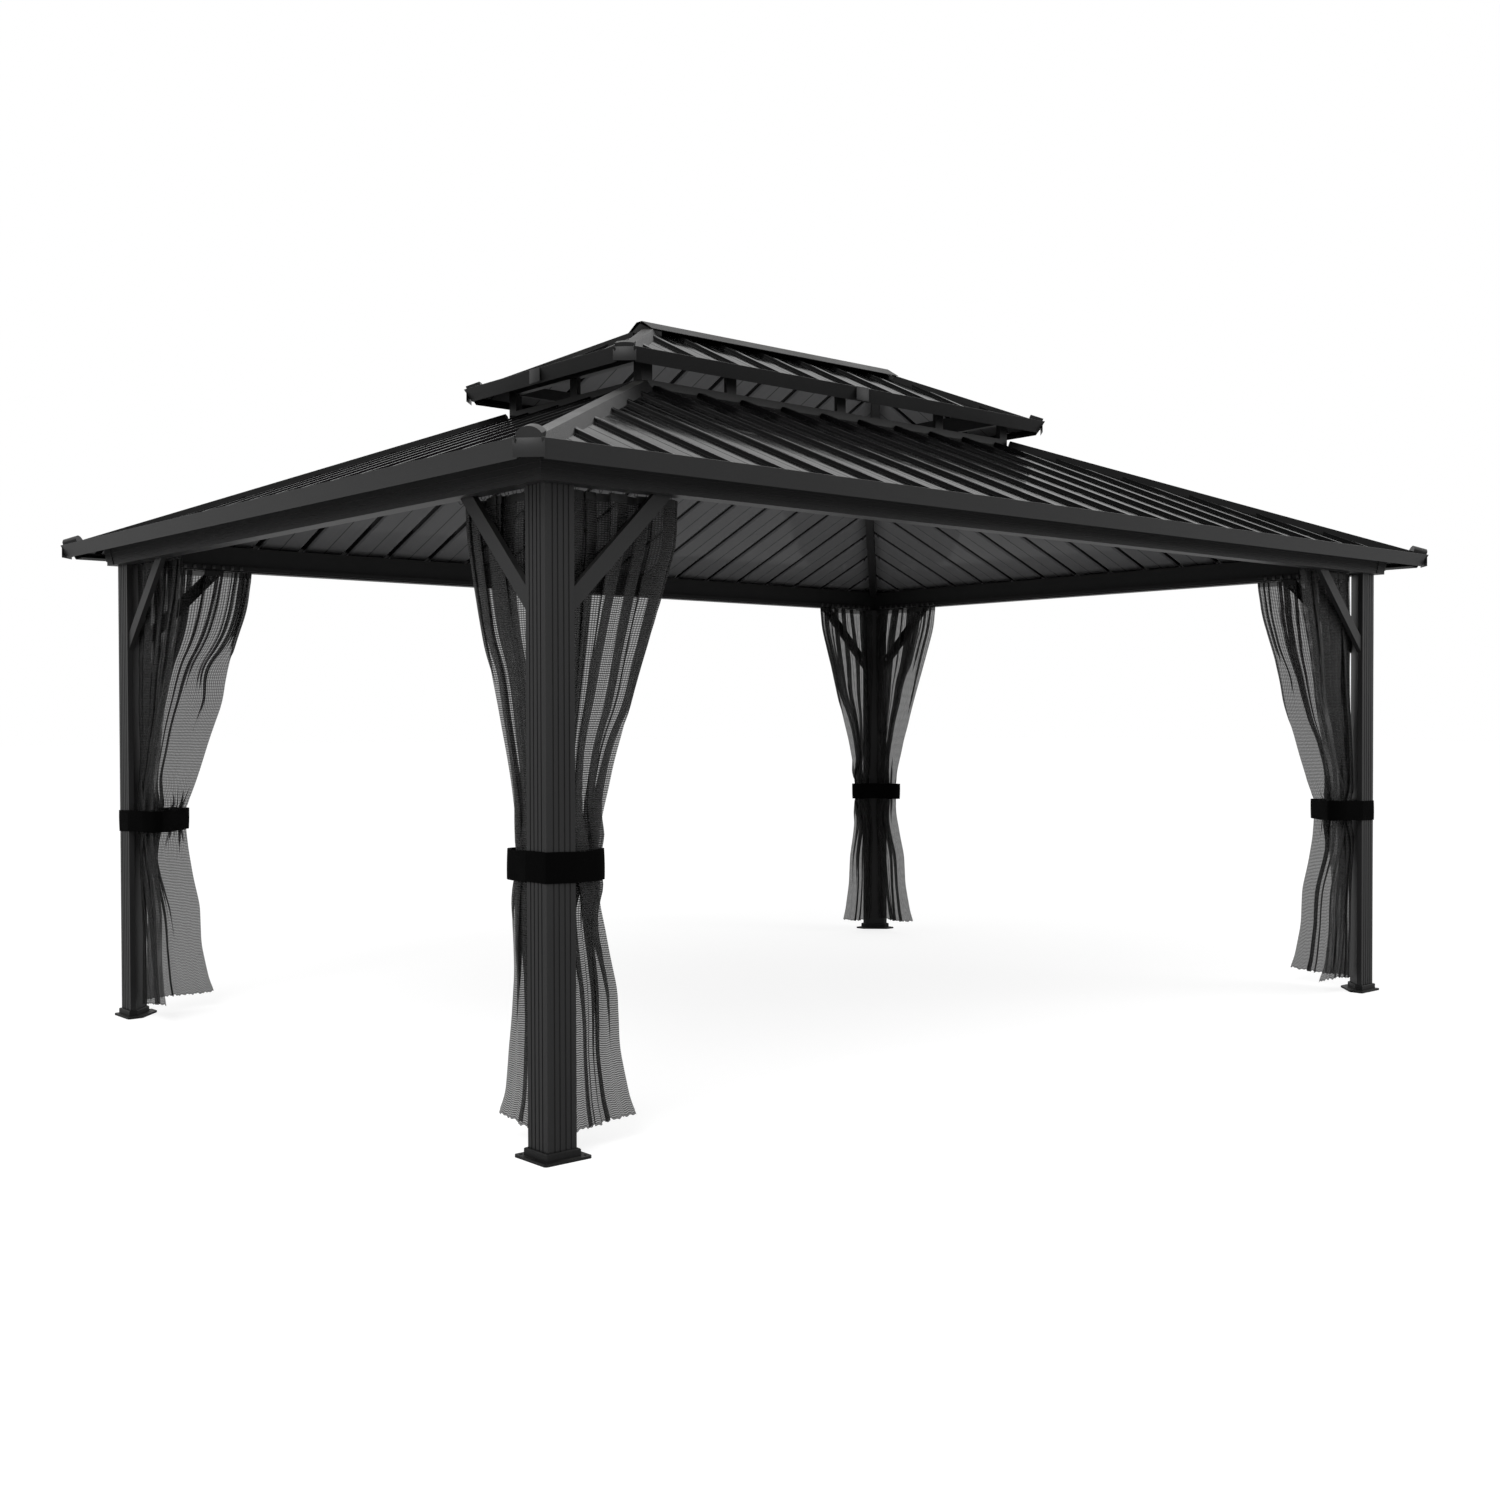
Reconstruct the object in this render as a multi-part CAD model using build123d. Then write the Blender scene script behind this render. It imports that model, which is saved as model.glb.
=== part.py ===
from build123d import *
import math
import os

# Metal gazebo with two stacked hip roofs, four corner posts and tied-back netting curtains.
# Millimetres, +X along the long side, +Y towards the back, +Z up.
# The origin is on the ground at the centre of the plan.

# Plan and heights; an eave line is where the sheets' top face meets the fascia
EAVE_LENGTH = 4856.0
EAVE_DEPTH = 3525.0
EAVE_HEIGHT = 1941.0
BEAM_DROP = 53.0
POST_SETBACK = 176.0

# Corner posts, with the inner corner cut off at 45 degrees
POST_SIZE = 98.0
POST_CUT = 76.0
POST_WALL = 3.0
GROOVE_WIDTH = 5.0
GROOVE_DEPTH = 2.0
GROOVE_PLACES = (0.24, 0.42, 0.62, 0.80)

# Feet: base plate, sleeve round the post and anchor holes
PLATE_SIZE = 160.0
PLATE_CUT = 100.0
PLATE_THICKNESS = 8.0
PLATE_CORNER = 10.0
PLATE_MARGIN = 24.0
SLEEVE_HEIGHT = 22.0
SLEEVE_WALL = 8.0
SLEEVE_CLEARANCE = 0.5
ANCHOR_RADIUS = 5.5
ANCHOR_EDGE = 15.0

# Eave beams and the moulded blocks that join them over the posts
BEAM_DEPTH = 70.0
BEAM_PROUD = 39.0
BEAM_WALL = 3.0
STEP_HEIGHTS = (16.0, 31.0, 48.0)
STEP_OUT = 3.0
BLOCK_PROUD = 3.0

# Knee braces
BRACE_REACH = 320.0
BRACE_WIDTH = 48.0
BRACE_THICKNESS = 20.0
BRACE_INSET = 6.0

# Roof sheets with pressed ribs
SHEET = 2.0
RIB_PITCH = 217.0
RIB_BASE = 62.0
RIB_TOP = 30.0
RIB_HEIGHT = 24.0
LOWER_SLOPE = 0.412
UPPER_SLOPE = 0.475
HIP_GAP = 1.0
POINT_WIDTH = 2.0

# Fascia along each eave and its corner caps
FASCIA_HEIGHT = 56.0
FASCIA_RISE = 33.0
FASCIA_WALL = 3.0
FASCIA_LIP = 22.0
FASCIA_SEAT = 1.0
CORNER_WIDTH = 71.0
CORNER_FOOT = 46.0
LOWER_CORNER_ARCH = 19.0
UPPER_CORNER_ARCH = 3.0
CORNER_LENGTH = 60.0

# Hip caps and ridge cap
CAP_WIDTH = 88.0
CAP_TOP = 44.0
LOWER_CAP_RISE = 24.0
UPPER_CAP_RISE = 17.0
CAP_WALL = 2.0
CAP_EDGE = 3.0
CAP_END_GAP = 6.0
RIDGE_CAP_WIDTH = 170.0
RIDGE_CAP_TOP = 36.0
RIDGE_CAP_OVERHANG = 60.0

# Rafters under the hips
RAFTER_WIDTH = 40.0
RAFTER_HEIGHT = 50.0
RIDGE_BEAM_WIDTH = 40.0

# Vent between the two roofs
VENT_LENGTH = 2095.0
VENT_DEPTH = 902.0
CURB_WIDTH = 30.0
CURB_HEIGHT = 48.0
CURB_PROUD = 30.0
STRUT_WIDTH = 50.0
STRUT_THICKNESS = 16.0
STRUT_HEIGHT = 71.0
STRUT_BAY = 600.0
HEAD_HEIGHT = 30.0

# Upper roof
UPPER_OVERHANG_ENDS = 162.5
UPPER_OVERHANG_SIDES = 104.0

# Curtain rails, netting and ties
RAIL_WIDTH = 16.0
RAIL_HEIGHT = 18.0
RAIL_LIFT = 6.0
CURTAIN_THICKNESS = 50.0
CURTAIN_TOP_GAP = 4.0
CURTAIN_HEM = 62.0
CURTAIN_REACH = 470.0
WAIST_REACH = 165.0
HEM_REACH = 285.0
CURTAIN_INSET = 34.0
CURTAIN_START = 88.0
TIE_BOTTOM = 777.0
TIE_HEIGHT = 88.0
TIE_THICKNESS = 3.0
TIE_CLEARANCE = 0.3

HALF_LENGTH = EAVE_LENGTH / 2
HALF_DEPTH = EAVE_DEPTH / 2
BEAM_BOTTOM = EAVE_HEIGHT - BEAM_DROP
BEAM_LINE = POST_SETBACK - BEAM_PROUD
LOWER_RISE = LOWER_SLOPE * (EAVE_DEPTH - VENT_DEPTH) / 2
LOWER_END_SLOPE = LOWER_RISE * 2 / (EAVE_LENGTH - VENT_LENGTH)
CURB_TOP = EAVE_HEIGHT + LOWER_RISE + CURB_PROUD
HEAD_BOTTOM = CURB_TOP + STRUT_HEIGHT
HEAD_TOP = HEAD_BOTTOM + HEAD_HEIGHT
UPPER_HEIGHT = HEAD_TOP + SHEET * math.hypot(1, UPPER_SLOPE) - UPPER_SLOPE * UPPER_OVERHANG_SIDES
CORNERS = {
    "front_left": (-1, -1),
    "back_left": (-1, 1),
    "front_right": (1, -1),
    "back_right": (1, 1),
}
SIDES = {"front": 0, "right": 90, "back": 180, "left": 270}
LONG_SIDES = ("front", "back")


class HipRoof:
    """Hip roof over a rectangle, with one slope for its long sides and one for its ends."""

    def __init__(self, half_x, half_y, height, side_slope, end_slope):
        self.half_x = half_x
        self.half_y = half_y
        self.height = height
        self.side_slope = side_slope
        self.end_slope = end_slope

    def slope(self, side):
        """Slope of one side."""
        return self.side_slope if side in LONG_SIDES else self.end_slope

    def drift(self, side):
        """How far the hips run along a side for each unit they run in from it."""
        other = self.end_slope if side in LONG_SIDES else self.side_slope
        return self.slope(side) / other

    def half(self, side):
        """Half the eave length of a side."""
        return self.half_x if side in LONG_SIDES else self.half_y

    def distance(self, side):
        """Distance of a side's eave from the centre."""
        return self.half_y if side in LONG_SIDES else self.half_x

    def climb(self):
        """Rise of a hip for each unit along it in plan."""
        return 1 / math.hypot(1 / self.side_slope, 1 / self.end_slope)

    def hip_length(self, rise):
        """Length up a hip for a rise."""
        return rise * math.hypot(1 / self.climb(), 1)

    def corner_rise(self):
        """Rise of the hips over the length of a corner cap."""
        return (CORNER_WIDTH / 2 + CORNER_LENGTH) / self.hip_length(1)

    def falls(self):
        """Falls of the end sheet and the side sheet for each unit across a hip."""
        ratio = self.end_slope / self.side_slope
        lean = self.climb() / math.hypot(1, self.climb())
        return lean * ratio, lean / ratio

    def hip_plane(self):
        """Plane across the front left hip: x towards the end, y up from the roof, z up the hip."""
        run_x = 1 / self.end_slope
        run_y = 1 / self.side_slope
        corner = (-self.half_x, -self.half_y, self.height)
        return Plane(origin=corner, x_dir=(-run_y, run_x, 0), z_dir=(run_x, run_y, 1))


LOWER_ROOF = HipRoof(HALF_LENGTH, HALF_DEPTH, EAVE_HEIGHT, LOWER_SLOPE, LOWER_END_SLOPE)
UPPER_ROOF = HipRoof(
    VENT_LENGTH / 2 + UPPER_OVERHANG_ENDS,
    VENT_DEPTH / 2 + UPPER_OVERHANG_SIDES,
    UPPER_HEIGHT,
    UPPER_SLOPE,
    UPPER_SLOPE,
)


def place_side(shape, side):
    """Turn a shape made for the front side to another side."""
    return Rot(0, 0, SIDES[side]) * shape


def place_corner(shape, corner):
    """Mirror a shape made for the front left corner to another corner."""
    sign_x, sign_y = CORNERS[corner]
    if sign_x > 0:
        shape = mirror(shape, Plane.YZ)
    if sign_y > 0:
        shape = mirror(shape, Plane.XZ)
    return shape


def swap_axes(shape):
    """Mirror a shape over the diagonal of the front left post."""
    x0, y0 = post_origin()
    return mirror(shape, Plane(origin=(x0, y0, 0), z_dir=(1, -1, 0)))


def prism(points, bottom, height):
    """Upright prism on a plan outline."""
    outline = Polyline(*points, close=True)
    return Pos(0, 0, bottom) * extrude(make_face(outline), height)


def one(shape):
    """The single solid that a shape holds."""
    return shape.solids()[0]


def save(name, solids):
    """Write one sub-part to its own file."""
    listed = solids if isinstance(solids, list) else [solids]
    shape = listed[0] if len(listed) == 1 else Compound(children=listed)
    shape.label = name
    export_step(shape, "parts/" + name + ".step")


def sheet_under(slope):
    """How far a sheet's underside lies below its top, straight down."""
    return SHEET * math.hypot(1, slope)


def beam_height(setback, slope):
    """Height of a beam or block whose outer top edge, at this setback, carries the sheet."""
    return EAVE_HEIGHT + slope * setback - sheet_under(slope) - BEAM_BOTTOM


def post_origin():
    """Outer corner of the front left post."""
    return -HALF_LENGTH + POST_SETBACK, -HALF_DEPTH + POST_SETBACK


def cut_square(size, cut, offset=0.0):
    """Square with its inner corner cut off, grown or shrunk by an offset."""
    low = -offset
    high = size + offset
    flat = size - cut + offset * (math.sqrt(2) - 1)
    return [(low, low), (high, low), (high, flat), (flat, high), (low, high)]


def post():
    """Extruded post: fluted outside, hollow, closed at the top."""
    x0, y0 = post_origin()
    bottom = PLATE_THICKNESS
    height = BEAM_BOTTOM - bottom
    body = prism(cut_square(POST_SIZE, POST_CUT), bottom, height)
    for share in GROOVE_PLACES:
        place = share * POST_SIZE
        groove = Box(GROOVE_WIDTH, 2 * GROOVE_DEPTH, height)
        body -= Pos(place, 0, bottom + height / 2) * groove
        body -= Pos(0, place, bottom + height / 2) * Rot(0, 0, 90) * groove
    wall = POST_WALL + GROOVE_DEPTH
    core = prism(cut_square(POST_SIZE, POST_CUT, -wall), bottom, height - POST_WALL)
    return Pos(x0, y0, 0) * (body - core)


def anchor_places():
    """Anchor hole centres on the front left foot, from the post's outer corner."""
    near = -PLATE_MARGIN + ANCHOR_EDGE
    far = PLATE_SIZE - PLATE_MARGIN - ANCHOR_EDGE
    plate_sum = 2 * PLATE_SIZE - PLATE_CUT - 2 * PLATE_MARGIN
    sleeve_sum = 2 * POST_SIZE - POST_CUT + (SLEEVE_CLEARANCE + SLEEVE_WALL) * math.sqrt(2)
    inner = (plate_sum + sleeve_sum) / 4
    return [(far, near), (near, far), (inner, inner)]


def foot():
    """Base plate with rounded corners, a sleeve round the post and anchor holes."""
    x0, y0 = post_origin()
    plate = prism(cut_square(PLATE_SIZE, PLATE_CUT), 0, PLATE_THICKNESS)
    plate = fillet(plate.edges().filter_by(Axis.Z), PLATE_CORNER)
    plate = Pos(-PLATE_MARGIN, -PLATE_MARGIN, 0) * plate
    inner = SLEEVE_CLEARANCE
    outer = SLEEVE_CLEARANCE + SLEEVE_WALL
    sleeve = prism(cut_square(POST_SIZE, POST_CUT, outer), PLATE_THICKNESS, SLEEVE_HEIGHT)
    sleeve -= prism(cut_square(POST_SIZE, POST_CUT, inner), PLATE_THICKNESS, SLEEVE_HEIGHT)
    sleeve = chamfer(sleeve.edges().group_by(Axis.Z)[-1], SLEEVE_WALL / 3)
    body = plate + sleeve
    for x, y in anchor_places():
        body -= Pos(x, y, PLATE_THICKNESS / 2) * Cylinder(ANCHOR_RADIUS, 2 * PLATE_THICKNESS)
    return Pos(x0, y0, 0) * body


def beam_outline(top):
    """Section of a beam: stepped outer face to the left, plain inner face."""
    out = len(STEP_HEIGHTS) * STEP_OUT
    points = [(BEAM_DEPTH, 0), (out, 0)]
    for height in STEP_HEIGHTS:
        points.append((out, height))
        out -= STEP_OUT
        points.append((out, height))
    points += [(out, top), (BEAM_DEPTH, top)]
    return points


def beam(side):
    """Hollow beam between two corner blocks, moulded outside."""
    run = 2 * (LOWER_ROOF.half(side) - BEAM_LINE - BEAM_DEPTH)
    tall = beam_height(BEAM_LINE, LOWER_ROOF.slope(side))
    outer = make_face(Polyline(*beam_outline(tall), close=True))
    steps = len(STEP_HEIGHTS) * STEP_OUT
    wide = BEAM_DEPTH - steps - 2 * BEAM_WALL
    hole = Pos((BEAM_DEPTH + steps) / 2, tall / 2) * Rectangle(wide, tall - 2 * BEAM_WALL)
    section = Plane.YZ * (outer - hole)
    body = extrude(section, run, dir=(1, 0, 0))
    line = -LOWER_ROOF.distance(side) + BEAM_LINE
    return place_side(Pos(-run / 2, line, BEAM_BOTTOM) * body, side)


def corner_block():
    """Moulded block over a post, where two beams meet."""
    corner = -BLOCK_PROUD + len(STEP_HEIGHTS) * STEP_OUT
    top = beam_height(BEAM_LINE - BLOCK_PROUD, LOWER_END_SLOPE)
    levels = [0.0, *STEP_HEIGHTS, top]
    body = None
    for low, high in zip(levels, levels[1:]):
        size = BEAM_DEPTH - corner
        layer = Pos(corner, corner, low) * Box(size, size, high - low, align=Align.MIN)
        body = layer if body is None else body + layer
        corner -= STEP_OUT
    return Pos(-HALF_LENGTH + BEAM_LINE, -HALF_DEPTH + BEAM_LINE, BEAM_BOTTOM) * body


def brace(along_x):
    """Flat tube from the post up to the beam, cut to both."""
    x0, y0 = post_origin()
    start = POST_SIZE
    half = BRACE_WIDTH / math.sqrt(2)
    outline = [
        (start, -BRACE_REACH - half),
        (start, -BRACE_REACH + half),
        (start + BRACE_REACH - half, 0),
        (start + BRACE_REACH + half, 0),
    ]
    body = extrude(Plane.XZ * make_face(Polyline(*outline, close=True)), -BRACE_THICKNESS)
    body = Pos(x0, y0 + BRACE_INSET, BEAM_BOTTOM) * body
    return body if along_x else swap_axes(body)


def sheet_outline(roof, side, top_setback, hip_space, eave_start):
    """Plan outline of one roof sheet, measured from the eave line at y = 0."""
    half = roof.half(side)
    drift = roof.drift(side)
    slack = hip_space * math.hypot(1, drift)
    cut_y = roof.corner_rise() / roof.slope(side) + 2 * HIP_GAP
    eave_x = half - cut_y * (drift + 1 / drift) - slack
    cut_x = half - cut_y * drift - slack
    top_y = min(top_setback, (half - slack - POINT_WIDTH) / drift)
    top_x = half - top_y * drift - slack
    right = [(eave_x, eave_start), (cut_x, cut_y), (top_x, top_y)]
    left = [(-x, y) for x, y in reversed(right)]
    return right + left


def rib_places(half):
    """Rib centres along a side, spread evenly from its middle."""
    count = int((half - RIB_PITCH / 2) / RIB_PITCH)
    return [(index + 0.5) * RIB_PITCH * sign for index in range(count) for sign in (-1, 1)]


def rib_bar(length, base, top, bottom, height):
    """Trapezoid bar that runs along +Y."""
    points = [(-base / 2, bottom), (base / 2, bottom), (top / 2, height), (-top / 2, height)]
    return extrude(Plane.XZ * make_face(Polyline(*points, close=True)), -length)


def roof_sheet(roof, side, top_setback):
    """Ribbed sheet of one roof side, cut to its hips, with closed rib ends."""
    half = roof.half(side)
    slope = roof.slope(side)
    angle = math.degrees(math.atan(slope))
    run = top_setback * math.hypot(1, slope) + RIB_HEIGHT
    start = FASCIA_WALL + FASCIA_SEAT
    low = -2 * RIB_HEIGHT
    tall = top_setback * slope + 4 * RIB_HEIGHT
    slab = Box(2 * half, run, SHEET, align=(Align.CENTER, Align.MIN, Align.MAX))
    rib_space = CAP_WIDTH / 2 + HIP_GAP
    full = prism(sheet_outline(roof, side, top_setback, HIP_GAP, start), low, tall)
    top = top_setback - SHEET
    inside = prism(sheet_outline(roof, side, top, rib_space, start + SHEET), low, tall)
    top -= SHEET
    hollow = prism(sheet_outline(roof, side, top, rib_space + SHEET, start + 2 * SHEET), low, tall)
    outer = rib_bar(run, RIB_BASE, RIB_TOP, -SHEET / 2, RIB_HEIGHT)
    lean = SHEET * (RIB_BASE - RIB_TOP) / RIB_HEIGHT
    core = rib_bar(run, RIB_BASE - lean, RIB_TOP - 2 * SHEET, -2 * SHEET, RIB_HEIGHT - SHEET)
    tilt = Rot(angle, 0, 0)
    ribs = [(Pos(place, 0, 0) * (tilt * outer)) & inside for place in rib_places(half)]
    cores = [(Pos(place, 0, 0) * (tilt * core)) & hollow for place in rib_places(half)]
    body = (tilt * slab) & full
    body = body + [rib for rib in ribs if rib.volume > 0]
    body = body - [core for core in cores if core.volume > 0]
    return place_side(Pos(0, -roof.distance(side), roof.height) * one(body), side)


def fascia(roof, side):
    """Folded fascia, square to the roof slope, with a lip under the sheet."""
    angle = math.degrees(math.atan(roof.slope(side)))
    half = roof.half(side)
    drift = roof.drift(side)
    top = FASCIA_RISE
    bottom = FASCIA_RISE - FASCIA_HEIGHT
    wall = FASCIA_WALL
    points = [
        (0, top),
        (0, bottom),
        (FASCIA_LIP, bottom),
        (FASCIA_LIP, bottom + wall),
        (wall, bottom + wall),
        (wall, -SHEET - wall),
        (FASCIA_LIP, -SHEET - wall),
        (FASCIA_LIP, -SHEET),
        (wall, -SHEET),
        (wall, top),
    ]
    section = Plane.YZ * make_face(Polyline(*points, close=True))
    body = Pos(-half * 2, 0, 0) * extrude(section, half * 4, dir=(1, 0, 0))
    body = Rot(angle, 0, 0) * body
    slack = CORNER_WIDTH / 2 * math.hypot(1, drift)
    reach = FASCIA_HEIGHT
    outer_x = half + reach * drift - slack
    inner_x = half - reach * drift - slack
    outline = [(-outer_x, -reach), (outer_x, -reach), (inner_x, reach), (-inner_x, reach)]
    keep = prism(outline, -2 * reach, 4 * reach)
    return place_side(Pos(0, -roof.distance(side), roof.height) * one(body & keep), side)


def corner_cap(roof, arch):
    """Cap on an eave corner, with a flat chamfered face and an arched top."""
    wide = CORNER_WIDTH / 2
    foot_wide = CORNER_FOOT / 2
    bottom = FASCIA_RISE - FASCIA_HEIGHT
    edges = [
        Line((-wide, FASCIA_RISE), (-foot_wide, bottom)),
        Line((-foot_wide, bottom), (foot_wide, bottom)),
        Line((foot_wide, bottom), (wide, FASCIA_RISE)),
        ThreePointArc((wide, FASCIA_RISE), (0, FASCIA_RISE + arch), (-wide, FASCIA_RISE)),
    ]
    plane = roof.hip_plane().offset(wide)
    return extrude(plane * make_face(edges), CORNER_LENGTH)


def hip_cap(roof, rise, crown_rise):
    """Folded cap over a hip: flat top, sloping sides that meet the sheets."""
    end_fall, side_fall = roof.falls()
    wide = CAP_WIDTH / 2
    inner = wide - CAP_EDGE
    crown = CAP_TOP / 2
    crown_inner = crown - CAP_WALL / 2
    under = crown_rise - CAP_WALL
    points = [
        (-wide, -side_fall * wide),
        (-crown, crown_rise),
        (crown, crown_rise),
        (wide, -end_fall * wide),
        (inner, -end_fall * inner),
        (crown_inner, under),
        (-crown_inner, under),
        (-inner, -side_fall * inner),
    ]
    start = CORNER_WIDTH / 2 + CORNER_LENGTH
    length = roof.hip_length(rise) - CAP_END_GAP - start
    plane = roof.hip_plane().offset(start)
    return extrude(plane * make_face(Polyline(*points, close=True)), length)


def hip_rafter(roof, low, high):
    """Rafter under a hip, ridged to seat both sheets and cut square to what it meets."""
    end_fall, side_fall = roof.falls()
    stretch = math.hypot(1, roof.climb())
    end_under = sheet_under(roof.end_slope) / stretch
    side_under = sheet_under(roof.side_slope) / stretch
    wide = RAFTER_WIDTH / 2
    ridge = (side_under - end_under) / (end_fall + side_fall)
    end_edge = -end_under - end_fall * wide
    side_edge = -side_under - side_fall * wide
    bottom = min(end_edge, side_edge) - RAFTER_HEIGHT
    points = [
        (-wide, bottom),
        (wide, bottom),
        (wide, end_edge),
        (ridge, -end_under - end_fall * ridge),
        (-wide, side_edge),
    ]
    rise = (high[1] + roof.half_y) * roof.side_slope
    length = roof.hip_length(rise) + RAFTER_HEIGHT
    body = extrude(roof.hip_plane() * make_face(Polyline(*points, close=True)), length)
    outline = [low, (high[0], low[1]), high, (low[0], high[1])]
    return one(body & prism(outline, 0, 2 * roof.height))


def mitred_bar(side, width, bottom, height):
    """Bar of a rectangular ring round the vent, mitred at both ends."""
    half, distance = VENT_LENGTH / 2, VENT_DEPTH / 2
    if side not in LONG_SIDES:
        half, distance = distance, half
    inner = half - width
    outline = [(-half, 0), (half, 0), (inner, width), (-inner, width)]
    return place_side(Pos(0, -distance, 0) * prism(outline, bottom, height), side)


def vent_curb():
    """Four mitred bars that frame the opening in the lower roof."""
    bottom = CURB_TOP - CURB_HEIGHT
    return [mitred_bar(side, CURB_WIDTH, bottom, CURB_HEIGHT) for side in SIDES]


def under_upper_roof():
    """Space below the upper sheets, to trim what carries them."""
    roof = UPPER_ROOF
    eave = roof.height - sheet_under(UPPER_SLOPE)
    top = eave + UPPER_SLOPE * roof.half_y
    crown = roof.half_x - roof.half_y
    ends = [(-roof.half_x, 0), (roof.half_x, 0), (roof.half_x, eave), (crown, top)]
    ends += [(-crown, top), (-roof.half_x, eave)]
    sides = [(-roof.half_y, 0), (roof.half_y, 0), (roof.half_y, eave), (0, top), (-roof.half_y, eave)]
    along = extrude(Plane.XZ * make_face(Polyline(*ends, close=True)), roof.half_y, both=True)
    across = extrude(Plane.YZ * make_face(Polyline(*sides, close=True)), roof.half_x, both=True)
    return along & across


def vent_head():
    """Four mitred bars under the upper roof, their tops cut to its slopes."""
    space = under_upper_roof()
    tall = 2 * HEAD_HEIGHT + UPPER_SLOPE * UPPER_OVERHANG_ENDS
    bars = [mitred_bar(side, CURB_WIDTH, HEAD_BOTTOM, tall) for side in SIDES]
    return [one(bar & space) for bar in bars]


def vent_struts():
    """Flat struts between the curb and the head, with angle struts at the corners."""
    half_x, half_y = VENT_LENGTH / 2, VENT_DEPTH / 2
    height = STRUT_HEIGHT
    middle = CURB_TOP + height / 2
    inset = CURB_WIDTH / 2
    flat = Box(STRUT_WIDTH, STRUT_THICKNESS, height)
    solids = []
    for sign in (-1, 1):
        for place in (-STRUT_BAY, 0.0, STRUT_BAY):
            solids.append(Pos(place, sign * (half_y - inset), middle) * flat)
        solids.append(Pos(sign * (half_x - inset), 0, middle) * (Rot(0, 0, 90) * flat))
    outer = STRUT_WIDTH
    inner = STRUT_THICKNESS
    angle_outline = [(0, 0), (outer, 0), (outer, inner), (inner, inner), (inner, outer), (0, outer)]
    angle_strut = Pos(-half_x, -half_y, 0) * prism(angle_outline, CURB_TOP, height)
    return solids + [place_corner(angle_strut, corner) for corner in CORNERS]


def ridge_beam():
    """Beam under the ridge, its top chamfered to seat both long sheets."""
    roof = UPPER_ROOF
    top = roof.height + UPPER_SLOPE * roof.half_y - sheet_under(UPPER_SLOPE)
    wide = RIDGE_BEAM_WIDTH / 2
    shoulder = -UPPER_SLOPE * wide
    bottom = shoulder - RAFTER_HEIGHT
    points = [(-wide, bottom), (wide, bottom), (wide, shoulder), (0, 0), (-wide, shoulder)]
    run = 2 * (roof.half_x - roof.half_y)
    body = extrude(Plane.YZ * make_face(Polyline(*points, close=True)), run, dir=(1, 0, 0))
    return Pos(-run / 2, 0, top) * body


def ridge_cap():
    """Folded ridge cap that rests on the rib tops, with closed ends."""
    roof = UPPER_ROOF
    top = roof.height + UPPER_SLOPE * roof.half_y
    lift = RIB_HEIGHT * math.hypot(1, UPPER_SLOPE)
    wide = RIDGE_CAP_WIDTH / 2
    crown = RIDGE_CAP_TOP / 2
    low = lift - UPPER_SLOPE * wide
    points = [
        (-wide, low),
        (-wide, low + CAP_WALL),
        (-crown, lift + CAP_WALL),
        (crown, lift + CAP_WALL),
        (wide, low + CAP_WALL),
        (wide, low),
        (crown, lift),
        (-crown, lift),
    ]
    run = 2 * (roof.half_x - roof.half_y) + 2 * RIDGE_CAP_OVERHANG
    body = extrude(Plane.YZ * make_face(Polyline(*points, close=True)), run, dir=(1, 0, 0))
    return Pos(-run / 2, 0, top) * body


def curtain_rail(side):
    """Rail on the inner face of a beam."""
    run = 2 * (LOWER_ROOF.half(side) - POST_SETBACK - POST_SIZE)
    inner = -LOWER_ROOF.distance(side) + BEAM_LINE + BEAM_DEPTH
    place = Pos(0, inner + RAIL_WIDTH / 2, BEAM_BOTTOM + RAIL_LIFT + RAIL_HEIGHT / 2)
    return place_side(place * Box(run, RAIL_WIDTH, RAIL_HEIGHT), side)


def curtain_wing(along_x):
    """One gathered curtain beside a post: wide at the rail, held at the tie, flared at the hem."""
    x0, y0 = post_origin()
    top = BEAM_BOTTOM - CURTAIN_TOP_GAP
    start = CURTAIN_START
    waist = start + WAIST_REACH
    points = [
        (start, top),
        (start, CURTAIN_HEM),
        (start + HEM_REACH, CURTAIN_HEM),
        (waist, TIE_BOTTOM),
        (waist, TIE_BOTTOM + TIE_HEIGHT),
        (start + CURTAIN_REACH, top),
    ]
    outline = make_face(Polyline(*points, close=True))
    body = extrude(Plane.XZ * outline, -CURTAIN_THICKNESS)
    body = Pos(x0, y0 + CURTAIN_INSET, 0) * body
    return body if along_x else swap_axes(body)


def tie_outline(amount):
    """Outline round the post and the two gathered curtains, grown by an amount."""
    waist = CURTAIN_START + WAIST_REACH
    near = CURTAIN_INSET
    far = CURTAIN_INSET + CURTAIN_THICKNESS
    size = POST_SIZE
    points = [(0, 0), (size, 0), (waist, near), (waist, far), (far, waist), (near, waist), (0, size)]
    return offset(make_face(Polyline(*points, close=True)), amount, kind=Kind.INTERSECTION)


def tie_band():
    """Flat strap round the post and the two curtains."""
    x0, y0 = post_origin()
    ring = tie_outline(TIE_CLEARANCE + TIE_THICKNESS) - tie_outline(TIE_CLEARANCE)
    return Pos(x0, y0, TIE_BOTTOM) * extrude(ring, TIE_HEIGHT)


def build_supports():
    """Posts, feet, beams, blocks, braces and rails."""
    for corner in CORNERS:
        save("post_" + corner, place_corner(post(), corner))
        save("foot_" + corner, place_corner(foot(), corner))
        save("braces_" + corner, [place_corner(brace(True), corner), place_corner(brace(False), corner)])
    for side in SIDES:
        save("beam_" + side, beam(side))
    save("beam_corner_blocks", [place_corner(corner_block(), corner) for corner in CORNERS])
    save("curtain_rails", [curtain_rail(side) for side in SIDES])


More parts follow.
